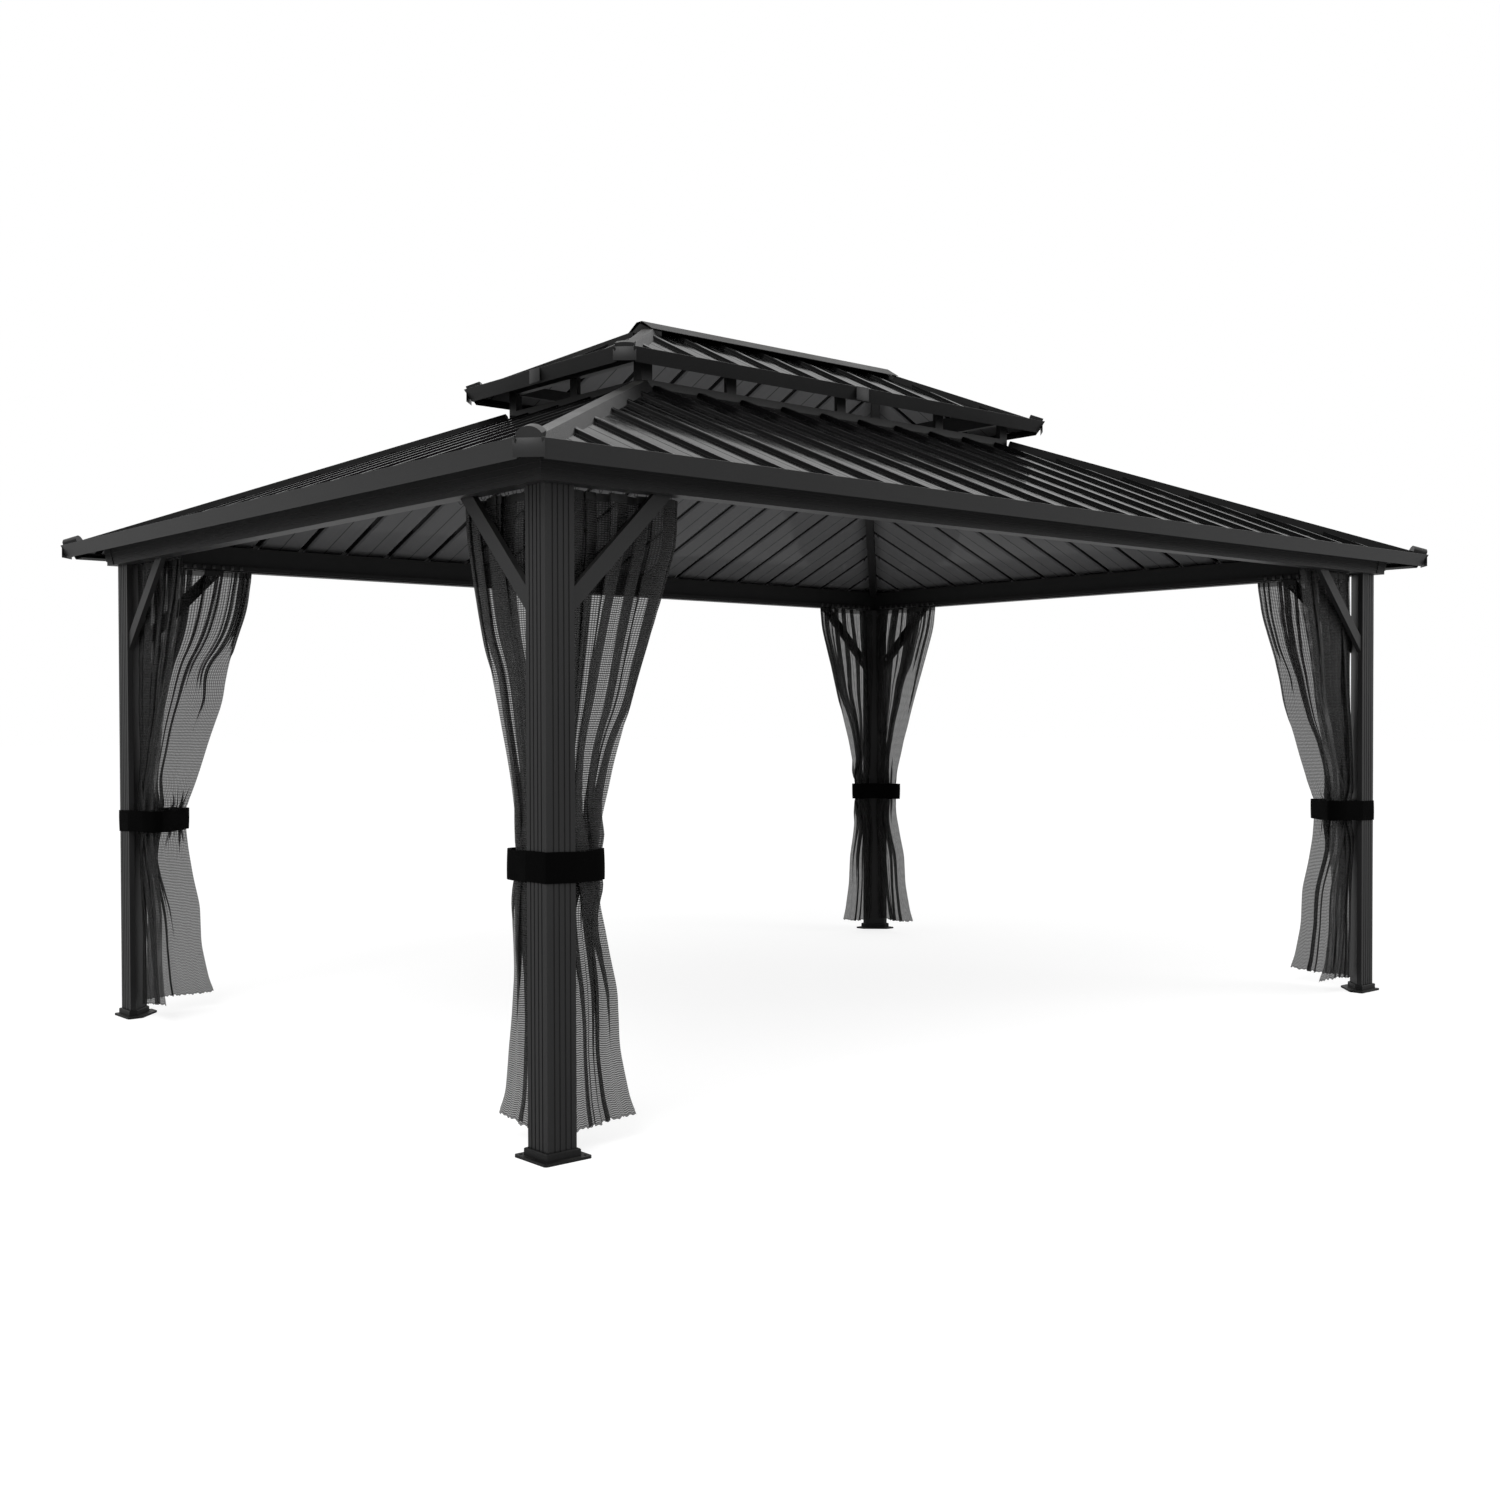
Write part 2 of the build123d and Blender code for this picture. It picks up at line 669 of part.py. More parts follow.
def build_lower_roof():
    """Sheets, fascia, corner caps, hip caps and rafters of the lower roof."""
    roof = LOWER_ROOF
    for side in SIDES:
        save("lower_sheet_" + side, roof_sheet(roof, side, LOWER_RISE / roof.slope(side)))
        save("lower_fascia_" + side, fascia(roof, side))
    corner = corner_cap(roof, LOWER_CORNER_ARCH)
    save("lower_corner_caps", [place_corner(corner, name) for name in CORNERS])
    cap = hip_cap(roof, LOWER_RISE, LOWER_CAP_RISE)
    save("lower_hip_caps", [place_corner(cap, name) for name in CORNERS])
    inner = BEAM_LINE + BEAM_DEPTH
    low = (-roof.half_x + inner, -roof.half_y + inner)
    high = (-VENT_LENGTH / 2, -VENT_DEPTH / 2)
    rafter = hip_rafter(roof, low, high)
    save("lower_hip_rafters", [place_corner(rafter, name) for name in CORNERS])


def build_vent():
    """Curb, struts and head between the two roofs."""
    save("vent_curb", vent_curb())
    save("vent_struts", vent_struts())
    save("vent_head", vent_head())


def build_upper_roof():
    """Sheets, fascia, caps and ridge of the upper roof."""
    roof = UPPER_ROOF
    for side in SIDES:
        save("upper_sheet_" + side, roof_sheet(roof, side, roof.half_y - HIP_GAP))
    save("upper_fascia", [fascia(roof, side) for side in SIDES])
    corner = corner_cap(roof, UPPER_CORNER_ARCH)
    save("upper_corner_caps", [place_corner(corner, name) for name in CORNERS])
    cap = hip_cap(roof, (roof.half_y - CAP_WIDTH / 2) * UPPER_SLOPE, UPPER_CAP_RISE)
    save("upper_hip_caps", [place_corner(cap, name) for name in CORNERS])
    low = (-VENT_LENGTH / 2 + CURB_WIDTH, -VENT_DEPTH / 2 + CURB_WIDTH)
    high = (roof.half_y - roof.half_x - RIDGE_BEAM_WIDTH / 2, -RIDGE_BEAM_WIDTH / 2)
    rafter = hip_rafter(roof, low, high)
    save("upper_hip_rafters", [place_corner(rafter, name) for name in CORNERS])
    save("ridge_beam", ridge_beam())
    save("ridge_cap", ridge_cap())


def build_curtains():
    """Netting curtains as plain soft solids, and their ties."""
    for corner in CORNERS:
        wings = [curtain_wing(True), curtain_wing(False)]
        save("curtain_" + corner, [place_corner(wing, corner) for wing in wings])
    save("curtain_ties", [place_corner(tie_band(), corner) for corner in CORNERS])


os.makedirs("parts", exist_ok=True)
build_supports()
build_lower_roof()
build_vent()
build_upper_roof()
build_curtains()
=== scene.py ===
"""Metal gazebo with netting curtains: finishes, cloth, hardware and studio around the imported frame."""

import math
import random

import bmesh
import bpy
import numpy as np
from mathutils import Matrix, Vector


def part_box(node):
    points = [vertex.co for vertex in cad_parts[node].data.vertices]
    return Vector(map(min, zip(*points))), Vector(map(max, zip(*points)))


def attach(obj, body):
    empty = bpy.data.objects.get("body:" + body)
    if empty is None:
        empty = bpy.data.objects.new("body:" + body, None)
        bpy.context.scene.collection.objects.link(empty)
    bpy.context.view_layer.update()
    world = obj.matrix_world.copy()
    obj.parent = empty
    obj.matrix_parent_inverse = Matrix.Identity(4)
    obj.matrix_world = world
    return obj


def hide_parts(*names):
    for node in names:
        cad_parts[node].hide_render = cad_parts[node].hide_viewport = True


bl_info = {
    "name": "Metal gazebo",
    "version": (1, 0, 0),
    "blender": (4, 5, 0),
    "location": "3D View > Sidebar > Gazebo",
    "description": "Finishes, netting, straps and fasteners of a two-tier metal gazebo",
    "category": "Object",
}

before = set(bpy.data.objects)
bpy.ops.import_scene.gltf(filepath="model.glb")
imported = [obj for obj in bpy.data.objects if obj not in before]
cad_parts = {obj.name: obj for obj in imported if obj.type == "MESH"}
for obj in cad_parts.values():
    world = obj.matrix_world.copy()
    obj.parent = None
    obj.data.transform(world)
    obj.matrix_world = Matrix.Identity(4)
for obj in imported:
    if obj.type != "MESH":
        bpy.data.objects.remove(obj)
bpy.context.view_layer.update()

CORNERS = {
    "front_left": (-1, -1),
    "back_left": (-1, 1),
    "front_right": (1, -1),
    "back_right": (1, 1),
}
SIDES = ("front", "back", "left", "right")

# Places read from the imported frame, in metres
POST_LOW, POST_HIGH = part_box("post_front_left")
RAIL_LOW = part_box("curtain_rails")[0]
TIE_LOW, TIE_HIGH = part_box("curtain_ties")
NET_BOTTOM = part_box("curtain_front_left")[0].z
POST_X, POST_Y = -POST_LOW.x, -POST_LOW.y
POST_WIDTH = POST_HIGH.x - POST_LOW.x

# Netting: where it starts from the post's outer corner, its inset, and the room for its folds
NET_START = 0.088
NET_INSET = 0.034
NET_DEPTH = 0.050
FOLD_DEPTH = 0.047
NET_GAP = 0.004
SELVEDGE = 0.007

# Straps: wall, ease at the post's corners and roundness round the gathered netting
STRAP_WALL = 0.003
STRAP_CORNER = 0.0015
STRAP_ROUND = 0.013
STRAP_LAYERS = 8

# Roof sheets: ribs, the crease halfway between them, and their edges
RIB_PITCH = 0.217
RIB_BASE, RIB_TOP, RIB_HEIGHT = 0.040, 0.024, 0.012
FOLD_EASE = 0.0018
CREASE_WIDTH = 0.003
CREASE_DEPTH = 0.0012
PAN_CROWN = 0.12
# half width of the painted shade in the groove under each rib, on the sheet's back
GROOVE_SHADE_HALF = 0.0135
SHEET_START = 0.004
SHEET_THICKNESS = 0.0008
HIP_COVER = 0.022

# Fascias: how far their face stands outside the eave line, their middle above it and their height
FASCIA_OUT = 0.0135
FASCIA_MIDDLE = 0.0052
FASCIA_TALL = 0.051
LINER_INSET_X, LINER_INSET_Y = 0.0201, 0.0195
LINER_LENGTH, LINER_WALL = 0.086, 0.002
SLEEVE_LENGTH, SLEEVE_WALL, SLEEVE_EXTRA = 0.070, 0.003, 0.004
RIDGE_END_START, RIDGE_END_LENGTH = 0.660, 0.052

# Fasteners and runners
GOLDEN_TURN = 2.39996
SCREW_SETBACK = 0.045
BOLT_DEPTH = 0.026
BOLT_PLACES = ((0.028, 0.292), (0.292, 0.028))
RUNNER_FIRST = 0.012
RUNNER_SIDES = (0.014, 0.006, 0.016)
HOOK_RADIUS, HOOK_WIRE = 0.0065, 0.0011

# Studio
CAMERA_PLACE = (-4.8346, -5.4054, 1.2235)
CAMERA_TURN = (90 - 0.943, 0.145, -41.087)
CAMERA_LENS = 39.807


# Shader helpers


class Signal:
    """A shader socket that can be used in plain sums."""

    def __init__(self, recipe, socket):
        self.recipe = recipe
        self.socket = socket

    def maths(self, operation, *others, clamp=False):
        settings = {"operation": operation, "use_clamp": clamp}
        values = dict(enumerate((self, *others)))
        return self.recipe.add("Math", settings, values)

    def flipped(self, operation, other):
        return self.recipe.add("Math", {"operation": operation}, {0: other, 1: self})

    def __add__(self, other):
        return self.maths("ADD", other)

    def __radd__(self, other):
        return self.flipped("ADD", other)

    def __sub__(self, other):
        return self.maths("SUBTRACT", other)

    def __rsub__(self, other):
        return self.flipped("SUBTRACT", other)

    def __mul__(self, other):
        return self.maths("MULTIPLY", other)

    def __rmul__(self, other):
        return self.flipped("MULTIPLY", other)

    def __truediv__(self, other):
        return self.maths("DIVIDE", other)

    def __rtruediv__(self, other):
        return self.flipped("DIVIDE", other)

    def __pow__(self, other):
        return self.maths("POWER", other)

    def clamped(self):
        return self.maths("ADD", 0.0, clamp=True)

    def larger(self, other):
        return self.maths("MAXIMUM", other)

    def step(self, middle, softness):
        """0 below middle and 1 above it, over a soft edge."""
        return ((self - middle) / softness + 0.5).clamped()


class Recipe:
    """Node tree of one material or world."""

    def __init__(self, name, world=False):
        self.block = bpy.data.worlds.new(name) if world else bpy.data.materials.new(name)
        self.block.use_nodes = True
        self.tree = self.block.node_tree
        self.tree.nodes.clear()

    def add(self, kind, settings=None, sockets=None, out=0):
        """A node of a kind, with its settings set first and then its sockets."""
        node = self.tree.nodes.new("ShaderNode" + kind)
        for key, value in (settings or {}).items():
            setattr(node, key, value)
        for key, value in (sockets or {}).items():
            if isinstance(value, Signal):
                self.tree.links.new(value.socket, node.inputs[key])
            else:
                node.inputs[key].default_value = value
        return Signal(self, node.outputs[out]) if len(node.outputs) else None

    def place(self, scale=(1, 1, 1)):
        """Object coordinates in metres, stretched by a scale."""
        coordinates = self.add("TexCoord", out="Object")
        return self.add("Mapping", {}, {"Vector": coordinates, "Scale": scale})

    def noise(self, vector, scale, detail=2.0, rough=0.5):
        sockets = {"Vector": vector, "Scale": scale, "Detail": detail, "Roughness": rough}
        return self.add("TexNoise", {}, sockets)

    def tint(self, factor, first, second):
        """A colour between two others."""
        return self.add("Mix", {"data_type": "RGBA"}, {0: factor, 6: first, 7: second}, out=2)

    def bump(self, height, distance, strength=1.0, under=None):
        sockets = {"Height": height, "Distance": distance, "Strength": strength}
        if under is not None:
            sockets["Normal"] = under
        return self.add("Bump", {}, sockets)

    def surface(self, **sockets):
        """The principled surface and the material's output."""
        named = {key.replace("_", " ").title(): value for key, value in sockets.items()}
        if "Specular" in named:
            named["Specular IOR Level"] = named.pop("Specular")
        shader = self.add("BsdfPrincipled", {}, named)
        self.add("OutputMaterial", {}, {"Surface": shader})
        return self.block


def shade(colour, factor):
    """A colour made lighter or darker, with full alpha."""
    return tuple(min(1.0, part * factor) for part in colour[:3]) + (1.0,)


# Finishes


def powder_coat(name, colour, roughness, gloss, drawn):
    """Fine-textured powder coat over an extrusion, with faint draw lines and dust."""
    recipe = Recipe(name)
    plain = recipe.place()
    grain = recipe.noise(plain, 900.0, 3.0, 0.6)
    cloud = recipe.noise(plain, 3.2, 4.0, 0.55)
    speck = recipe.noise(plain, 260.0, 2.0, 0.5).step(0.66, 0.06)
    draw = recipe.noise(recipe.place(drawn), 1.0, 3.0, 0.6)
    normal = recipe.add("NewGeometry", out="Normal")
    up = recipe.add("SeparateXYZ", {}, {"Vector": normal}, out="Z")
    dust = (up.step(0.75, 0.5) * cloud.step(0.52, 0.3)) * 0.35
    tone = (cloud * 0.55 + draw * 0.3 + grain * 0.25 - 0.1).clamped()
    paint = recipe.tint(tone, shade(colour, 0.78), shade(colour, 1.3))
    paint = recipe.tint(speck * 0.25, paint, shade(colour, 2.2))
    paint = recipe.tint(dust, paint, (0.11, 0.108, 0.102, 1.0))
    rough = (roughness + (grain - 0.5) * 0.1 + (cloud - 0.5) * 0.12 + dust * 0.35).clamped()
    relief = recipe.bump(draw, 0.00025, 0.5)
    relief = recipe.bump(grain, 0.00012, 0.8, relief)
    return recipe.surface(base_color=paint, roughness=rough, normal=relief, specular=gloss)


def coil_coat(name, colour, backing, roughness, gloss, rolled, across):
    """Smooth coil coat on ribbed sheet: roll marks, crowned pans, painted shade along the crease,
    and a paler back with painted shade in the grooves under the ribs."""
    recipe = Recipe(name)
    plain = recipe.place()
    coordinates = recipe.add("TexCoord", out="Object")
    from_middle = recipe.add("SeparateXYZ", {}, {"Vector": coordinates}, out=across)
    from_middle = from_middle.maths("PINGPONG", RIB_PITCH / 2)
    # mask of the painted shade along the crease halfway between the ribs
    crease = 1.0 - from_middle.step(CREASE_WIDTH * 0.6, CREASE_WIDTH * 0.6)
    crown = from_middle * from_middle * -PAN_CROWN
    normal = recipe.add("NewGeometry", out="Normal")
    upwards = recipe.add("SeparateXYZ", {}, {"Vector": normal}, out="Z").step(0.0, 0.3)
    streak = recipe.noise(recipe.place(rolled), 1.0, 4.0, 0.6)
    cloud = recipe.noise(plain, 1.6, 3.0, 0.5)
    wave = recipe.noise(plain, 4.5, 1.0, 0.4)
    spot = recipe.noise(plain, 12.0, 1.0, 0.5).step(0.7, 0.2)
    tone = (streak * 0.6 + cloud * 0.5 - 0.05).clamped()
    paint = recipe.tint(tone, shade(colour, 0.75), shade(colour, 1.35))
    paint = recipe.tint(spot * 0.18, paint, shade(colour, 2.4))
    back = recipe.tint(tone, shade(backing, 0.85), shade(backing, 1.15))
    # painted shade: the paler back is darkened to the roof's own colour inside the grooves under the ribs
    groove_shade = from_middle.step(RIB_PITCH / 2 - GROOVE_SHADE_HALF, 0.003)
    back = recipe.tint(groove_shade, back, shade(colour, 1.2))
    paint = recipe.tint(upwards, back, paint)
    # painted shade: the crease line is darkened on both faces of the sheet
    paint = recipe.tint(crease * 0.8, paint, shade(colour, 0.4))
    rough = (roughness + (streak - 0.5) * 0.12 + (cloud - 0.5) * 0.1 + spot * 0.12).clamped()
    relief = recipe.bump(crown, 1.0)
    relief = recipe.bump(wave, 0.0008, 0.2, relief)
    return recipe.surface(base_color=paint, roughness=rough, normal=relief, specular=gloss)


def netting_cloth(name, colour, cell, thread, veil):
    """Knitted netting: square cells on the cloth's own map, denser at hem and edges."""
    recipe = Recipe(name)
    mapped = recipe.add("UVMap", {"uv_map": "cloth"})
    along = recipe.add("SeparateXYZ", {}, {"Vector": mapped}, out="X")
    down = recipe.add("SeparateXYZ", {}, {"Vector": mapped}, out="Y")
    drift = recipe.noise(mapped, 22.0, 2.0, 0.5) - 0.5
    warp = (along + drift * cell * 0.25).maths("PINGPONG", cell / 2)
    weft = (down + drift * cell * 0.35).maths("PINGPONG", cell / 2)
    upright = 1.0 - warp.step(thread * 0.5, thread * 0.35)
    level = 1.0 - weft.step(thread * 0.62, thread * 0.35)
    knots = upright * level
    threads = (upright * 0.74).larger(level * 0.9).larger(knots)
    cover = (veil + (1.0 - veil) * threads).clamped()
    hem = recipe.add("Attribute", {"attribute_name": "binding"}, out="Fac")
    cover = cover.larger(hem * 0.94)
    shadow = recipe.noise(mapped, 60.0, 2.0, 0.5)
    paint = recipe.tint(shadow, shade(colour, 0.7), shade(colour, 1.5))
    rough = 0.62 + (shadow - 0.5) * 0.2
    relief = recipe.bump(threads, 0.0004, 0.5)
    made = recipe.surface(
        base_color=paint, roughness=rough, alpha=cover, normal=relief, specular=0.25
    )
    made.surface_render_method = "BLENDED"
    return made


def webbing(name, colour):
    """Woven strap: ribs across and a fine twill."""
    recipe = Recipe(name)
    mapped = recipe.add("UVMap", {"uv_map": "cloth"})
    along = recipe.add("SeparateXYZ", {}, {"Vector": mapped}, out="X")
    across = recipe.add("SeparateXYZ", {}, {"Vector": mapped}, out="Y")
    rib = across.maths("PINGPONG", 0.0011) / 0.0011
    twill = (along + across * 0.7).maths("PINGPONG", 0.0009) / 0.0009
    fuzz = recipe.noise(mapped, 700.0, 3.0, 0.6)
    height = rib * 0.55 + twill * 0.35 + fuzz * 0.25
    # painted shade and highlight: the colour follows the weave's height, darker in its hollows and lighter
    # on its raised threads
    paint = recipe.tint(height.clamped(), shade(colour, 0.5), shade(colour, 2.0))
    rough = 0.7 + (fuzz - 0.5) * 0.2
    relief = recipe.bump(height, 0.0005, 0.8)
    return recipe.surface(base_color=paint, roughness=rough, normal=relief, specular=0.01)


def zinc(name, colour, roughness):
    """Plated steel of screws and bolts, with a blotchy passivated look."""
    recipe = Recipe(name)
    plain = recipe.place()
    blotch = recipe.noise(plain, 420.0, 3.0, 0.6)
    scratch = recipe.noise(recipe.place((1.0, 9.0, 3.0)), 500.0, 2.0, 0.5)
    paint = recipe.tint(blotch, shade(colour, 0.7), shade(colour, 1.2))
    rough = (roughness + (blotch - 0.5) * 0.25).clamped()
    relief = recipe.bump(scratch, 0.00005, 0.6)
    return recipe.surface(base_color=paint, roughness=rough, metallic=1.0, normal=relief)


def moulded_nylon(name, colour):
    """Moulded plastic of the curtain runners."""
    recipe = Recipe(name)
    plain = recipe.place()
    pebble = recipe.noise(plain, 1200.0, 2.0, 0.5)
    flow = recipe.noise(plain, 90.0, 2.0, 0.5)
    paint = recipe.tint(flow, shade(colour, 0.8), shade(colour, 1.3))
    rough = 0.42 + (pebble - 0.5) * 0.2
    relief = recipe.bump(pebble, 0.00006, 0.6)
    return recipe.surface(base_color=paint, roughness=rough, normal=relief)


# Sizes and colours that a user would change


def size_property(label, help_text, default, low=0.0, high=10.0):
    limits = {"min": low, "max": high}
    return bpy.props.FloatProperty(
        name=label, description=help_text, default=default, unit="LENGTH", precision=4, **limits
    )


def share_property(label, help_text, default):
    return bpy.props.FloatProperty(
        name=label, description=help_text, default=default, min=0.0, max=1.0, subtype="FACTOR"
    )


def colour_property(label, help_text, default):
    return bpy.props.FloatVectorProperty(
        name=label, description=help_text, default=default, min=0.0, max=1.0, size=3, subtype="COLOR"
    )


class GazeboFinishSettings(bpy.types.PropertyGroup):
    """Colours and gloss of the coats, cloth and metal."""

    frame_colour: colour_property("Frame", "Coat of posts, beams and braces", (0.0105, 0.0105, 0.0107))
    roof_colour: colour_property("Roof", "Coil coat of the ribbed sheets", (0.0025, 0.0025, 0.0026))
    backing_colour: colour_property("Backing", "Back coat under the sheets", (0.11, 0.11, 0.112))
    cap_colour: colour_property("Caps", "Coat of the hip caps and ridge cap", (0.006, 0.006, 0.0061))
    trim_colour: colour_property("Trim", "Coat of fascias and eave corners", (0.0125, 0.0125, 0.0127))
    foot_colour: colour_property("Feet", "Coat of the base plates", (0.0055, 0.0055, 0.0056))
    net_colour: colour_property("Netting", "Yarn of the netting", (0.006, 0.006, 0.006))
    strap_colour: colour_property("Straps", "Webbing of the curtain ties", (0.0009, 0.0009, 0.0009))
    metal_colour: colour_property("Fasteners", "Plated steel of the screws", (0.55, 0.55, 0.56))
    frame_roughness: share_property("Frame roughness", "Roughness of the frame's coat", 0.46)
    roof_roughness: share_property("Roof roughness", "Roughness of the roof sheets", 0.09)
    trim_roughness: share_property("Trim roughness", "Roughness of fascias and caps", 0.4)


class GazeboNetSettings(bpy.types.PropertyGroup):
    """Sizes of the netting curtains and their ties."""

    cell: size_property("Cell", "Pitch of the netting's square cells", 0.0066, 0.001, 0.05)
    thread: size_property("Thread", "Width of one thread bundle", 0.0024, 0.0002, 0.01)
    veil: share_property("Veil", "Cover of the fine knit inside each cell", 0.62)
    hem: size_property("Hem", "Height of the bound hem", 0.009, 0.0, 0.1)
    header: size_property("Header", "Height of the header tape at the rail", 0.024, 0.0, 0.1)
    columns: bpy.props.IntProperty(
        name="Columns", description="Mesh columns across one curtain", default=380, min=40, max=600
    )
    rows: bpy.props.IntProperty(
        name="Rows", description="Mesh rows down one curtain", default=90, min=20, max=400
    )


class GazeboFastenerSettings(bpy.types.PropertyGroup):
    """Sizes of the screws, bolts and curtain runners."""

    screw_across: size_property("Screw head", "Across the flats of a roof screw", 0.008, 0.002, 0.03)
    bolt_across: size_property("Bolt head", "Across the flats of a brace bolt", 0.013, 0.002, 0.04)
    runner_gap: size_property("Runner spacing", "Spacing of the curtain runners", 0.042, 0.01, 0.3)


# Modelling helpers


class RoofTier:
    """One hip roof: its eave line, its slopes and how far its sheets reach."""

    def __init__(self, name, half_x, half_y, height, slopes, reaches):
        self.name = name
        self.half_x = half_x
        self.half_y = half_y
        self.height = height
        self.side_slope, self.end_slope = slopes
        self.side_reach, self.end_reach = reaches

    def long_side(self, side):
        return side in ("front", "back")

    def half(self, side):
        return self.half_x if self.long_side(side) else self.half_y

    def slope(self, side):
        return self.side_slope if self.long_side(side) else self.end_slope

    def reach(self, side):
        return self.side_reach if self.long_side(side) else self.end_reach

    def drift(self, side):
        """How far the hip moves along the side for each step up the slope."""
        ratio = self.side_slope / self.end_slope
        return ratio if self.long_side(side) else 1 / ratio

    def point(self, side, along, setback, lift=0.0):
        """Point over a side: along from its middle, in from the eave line and above the sheet."""
        height = self.height + self.slope(side) * setback + lift
        if side == "front":
            return Vector((along, -self.half_y + setback, height))
        if side == "back":
            return Vector((-along, self.half_y - setback, height))
        if side == "left":
            return Vector((-self.half_x + setback, -along, height))
        return Vector((self.half_x - setback, along, height))

    def along(self, side):
        """Unit vector along a side."""
        return self.point(side, 1, 0) - self.point(side, 0, 0)

    def inwards(self, side):
        """Unit vector from the eave to the middle, level."""
        step = self.point(side, 0, 1) - self.point(side, 0, 0)
        return Vector((step.x, step.y, 0))

    def normal(self, side):
        """Outward normal of a side."""
        level = self.inwards(side) * -self.slope(side)
        return Vector((level.x, level.y, 1)).normalized()


# Half length and half depth of the eave line, its height, slopes and reaches of sides and ends
LOWER_ROOF = RoofTier("lower", 2.428, 1.7625, 1.941, (0.412, 0.3914), (1.3125, 1.3815))
UPPER_ROOF = RoofTier("upper", 1.210, 0.555, 2.5651, (0.475, 0.475), (0.552, 0.552))


def corner_point(corner, along, depth, height, along_x):
    """Point beside a post, from its outer corner: along a side, inwards and up."""
    sign_x, sign_y = CORNERS[corner]
    if along_x:
        return Vector((sign_x * (POST_X - along), sign_y * (POST_Y - depth), height))
    return Vector((sign_x * (POST_X - depth), sign_y * (POST_Y - along), height))


def piece(name, bm, material, stands_for=(), sharp=32.0):
    """A finished object from a bmesh, riding on the frame's one body."""
    for face in bm.faces:
        face.smooth = True
    for edge in bm.edges:
        if edge.is_manifold and edge.calc_face_angle(0.0) > math.radians(sharp):
            edge.smooth = False
    mesh = bpy.data.meshes.new(name)
    bm.to_mesh(mesh)
    bm.free()
    made = bpy.data.objects.new(name, mesh)
    bpy.context.scene.collection.objects.link(made)
    made.data.materials.append(material)
    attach(made, "root")
    if stands_for:
        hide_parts(*stands_for)
    return made


def ease_edges(bm, edges, offset, segments=2):
    """Small rounded bevel along edges."""
    bmesh.ops.bevel(
        bm,
        geom=edges,
        offset=offset,
        segments=segments,
        profile=0.5,
        affect="EDGES",
        material=-1,
    )


def drag_copy(bm, extruded, step):
    """Moves the new points of an extrusion."""
    far = [part for part in extruded if isinstance(part, bmesh.types.BMVert)]
    bmesh.ops.translate(bm, verts=far, vec=step)


def block_edges(block):
    """Edges of a block that bmesh has just made, each once."""
    return list({e for v in block["verts"] for e in v.link_edges})


def add_screw(bm, place, normal, across, turn=0.0):
    """Hex-headed screw with a pressed washer, standing on a surface."""
    tall = across * 0.62
    stand = Vector(normal).normalized().to_track_quat("Z", "Y").to_matrix().to_4x4()
    seat = Matrix.Translation(Vector(place)) @ stand @ Matrix.Rotation(turn, 4, "Z")
    bmesh.ops.create_cone(
        bm,
        cap_ends=True,
        segments=16,
        radius1=across * 0.86,
        radius2=across * 0.74,
        depth=tall * 0.3,
        matrix=seat @ Matrix.Translation((0, 0, tall * 0.15)),
    )
    head = bmesh.ops.create_cone(
        bm,
        cap_ends=True,
        segments=6,
        radius1=across / math.sqrt(3),
        radius2=across / math.sqrt(3),
        depth=tall * 0.7,
        matrix=seat @ Matrix.Translation((0, 0, tall * 0.65)),
    )
    top = max(head["verts"], key=lambda v: (seat.inverted() @ v.co).z)
    crown = [f for f in top.link_faces if len(f.verts) == 6]
    ease_edges(bm, [e for f in crown for e in f.edges], across * 0.06, segments=1)


def smooth_share(value):
    """Smooth step from 0 to 1."""
    value = np.clip(value, 0.0, 1.0)
    return value * value * (3 - 2 * value)


# Roof sheets and trim


def pan_count(half):
    """Pans on each side of the middle one."""
    return int((half - RIB_PITCH / 2) / RIB_PITCH)


def sheet_profile(half):
    """Cross-section along the eave: low ribs with a shallow crease halfway between them."""
    profile = [(-half, 0.0)]
    count = pan_count(half)
    for index in range(-count, count + 1):
        middle = index * RIB_PITCH
        profile += [(middle - CREASE_WIDTH, 0.0), (middle, -CREASE_DEPTH)]
        profile += [(middle + CREASE_WIDTH, 0.0)]
        if index < count:
            rib = middle + RIB_PITCH / 2
            profile += [(rib - RIB_BASE / 2, 0.0), (rib - RIB_TOP / 2, RIB_HEIGHT)]
            profile += [(rib + RIB_TOP / 2, RIB_HEIGHT), (rib + RIB_BASE / 2, 0.0)]
    return profile + [(half, 0.0)]


def ribbed_sheet(tier, side, material, node):
    """Pressed sheet of one roof side, run up the slope and cut along both hips."""
    bm = bmesh.new()
    profile = sheet_profile(tier.half(side))
    chain = [bm.verts.new(tier.point(side, along, SHEET_START, lift)) for along, lift in profile]
    edges = [bm.edges.new(pair) for pair in zip(chain, chain[1:])]
    run = tier.point(side, 0, tier.reach(side)) - tier.point(side, 0, SHEET_START)
    drag_copy(bm, bmesh.ops.extrude_edge_only(bm, edges=edges)["geom"], run)
    folds = [e for e in bm.edges if e.is_manifold and e.calc_face_angle(0.0) > math.radians(35)]
    ease_edges(bm, folds, FOLD_EASE)
    for sign in (-1, 1):
        outwards = (tier.along(side) * sign + tier.inwards(side) * tier.drift(side)).normalized()
        cut = tier.point(side, sign * tier.half(side), 0) - outwards * HIP_COVER
        geometry = bm.verts[:] + bm.edges[:] + bm.faces[:]
        bmesh.ops.bisect_plane(bm, geom=geometry, plane_co=cut, plane_no=outwards, clear_outer=True)
    bm.normal_update()
    if sum(face.normal.z for face in bm.faces) < 0:
        bmesh.ops.reverse_faces(bm, faces=bm.faces)
    bmesh.ops.solidify(bm, geom=bm.faces, thickness=SHEET_THICKNESS)
    bmesh.ops.recalc_face_normals(bm, faces=bm.faces)
    return piece(f"sheet_{tier.name}_{side}", bm, material, (node,), sharp=14.0)


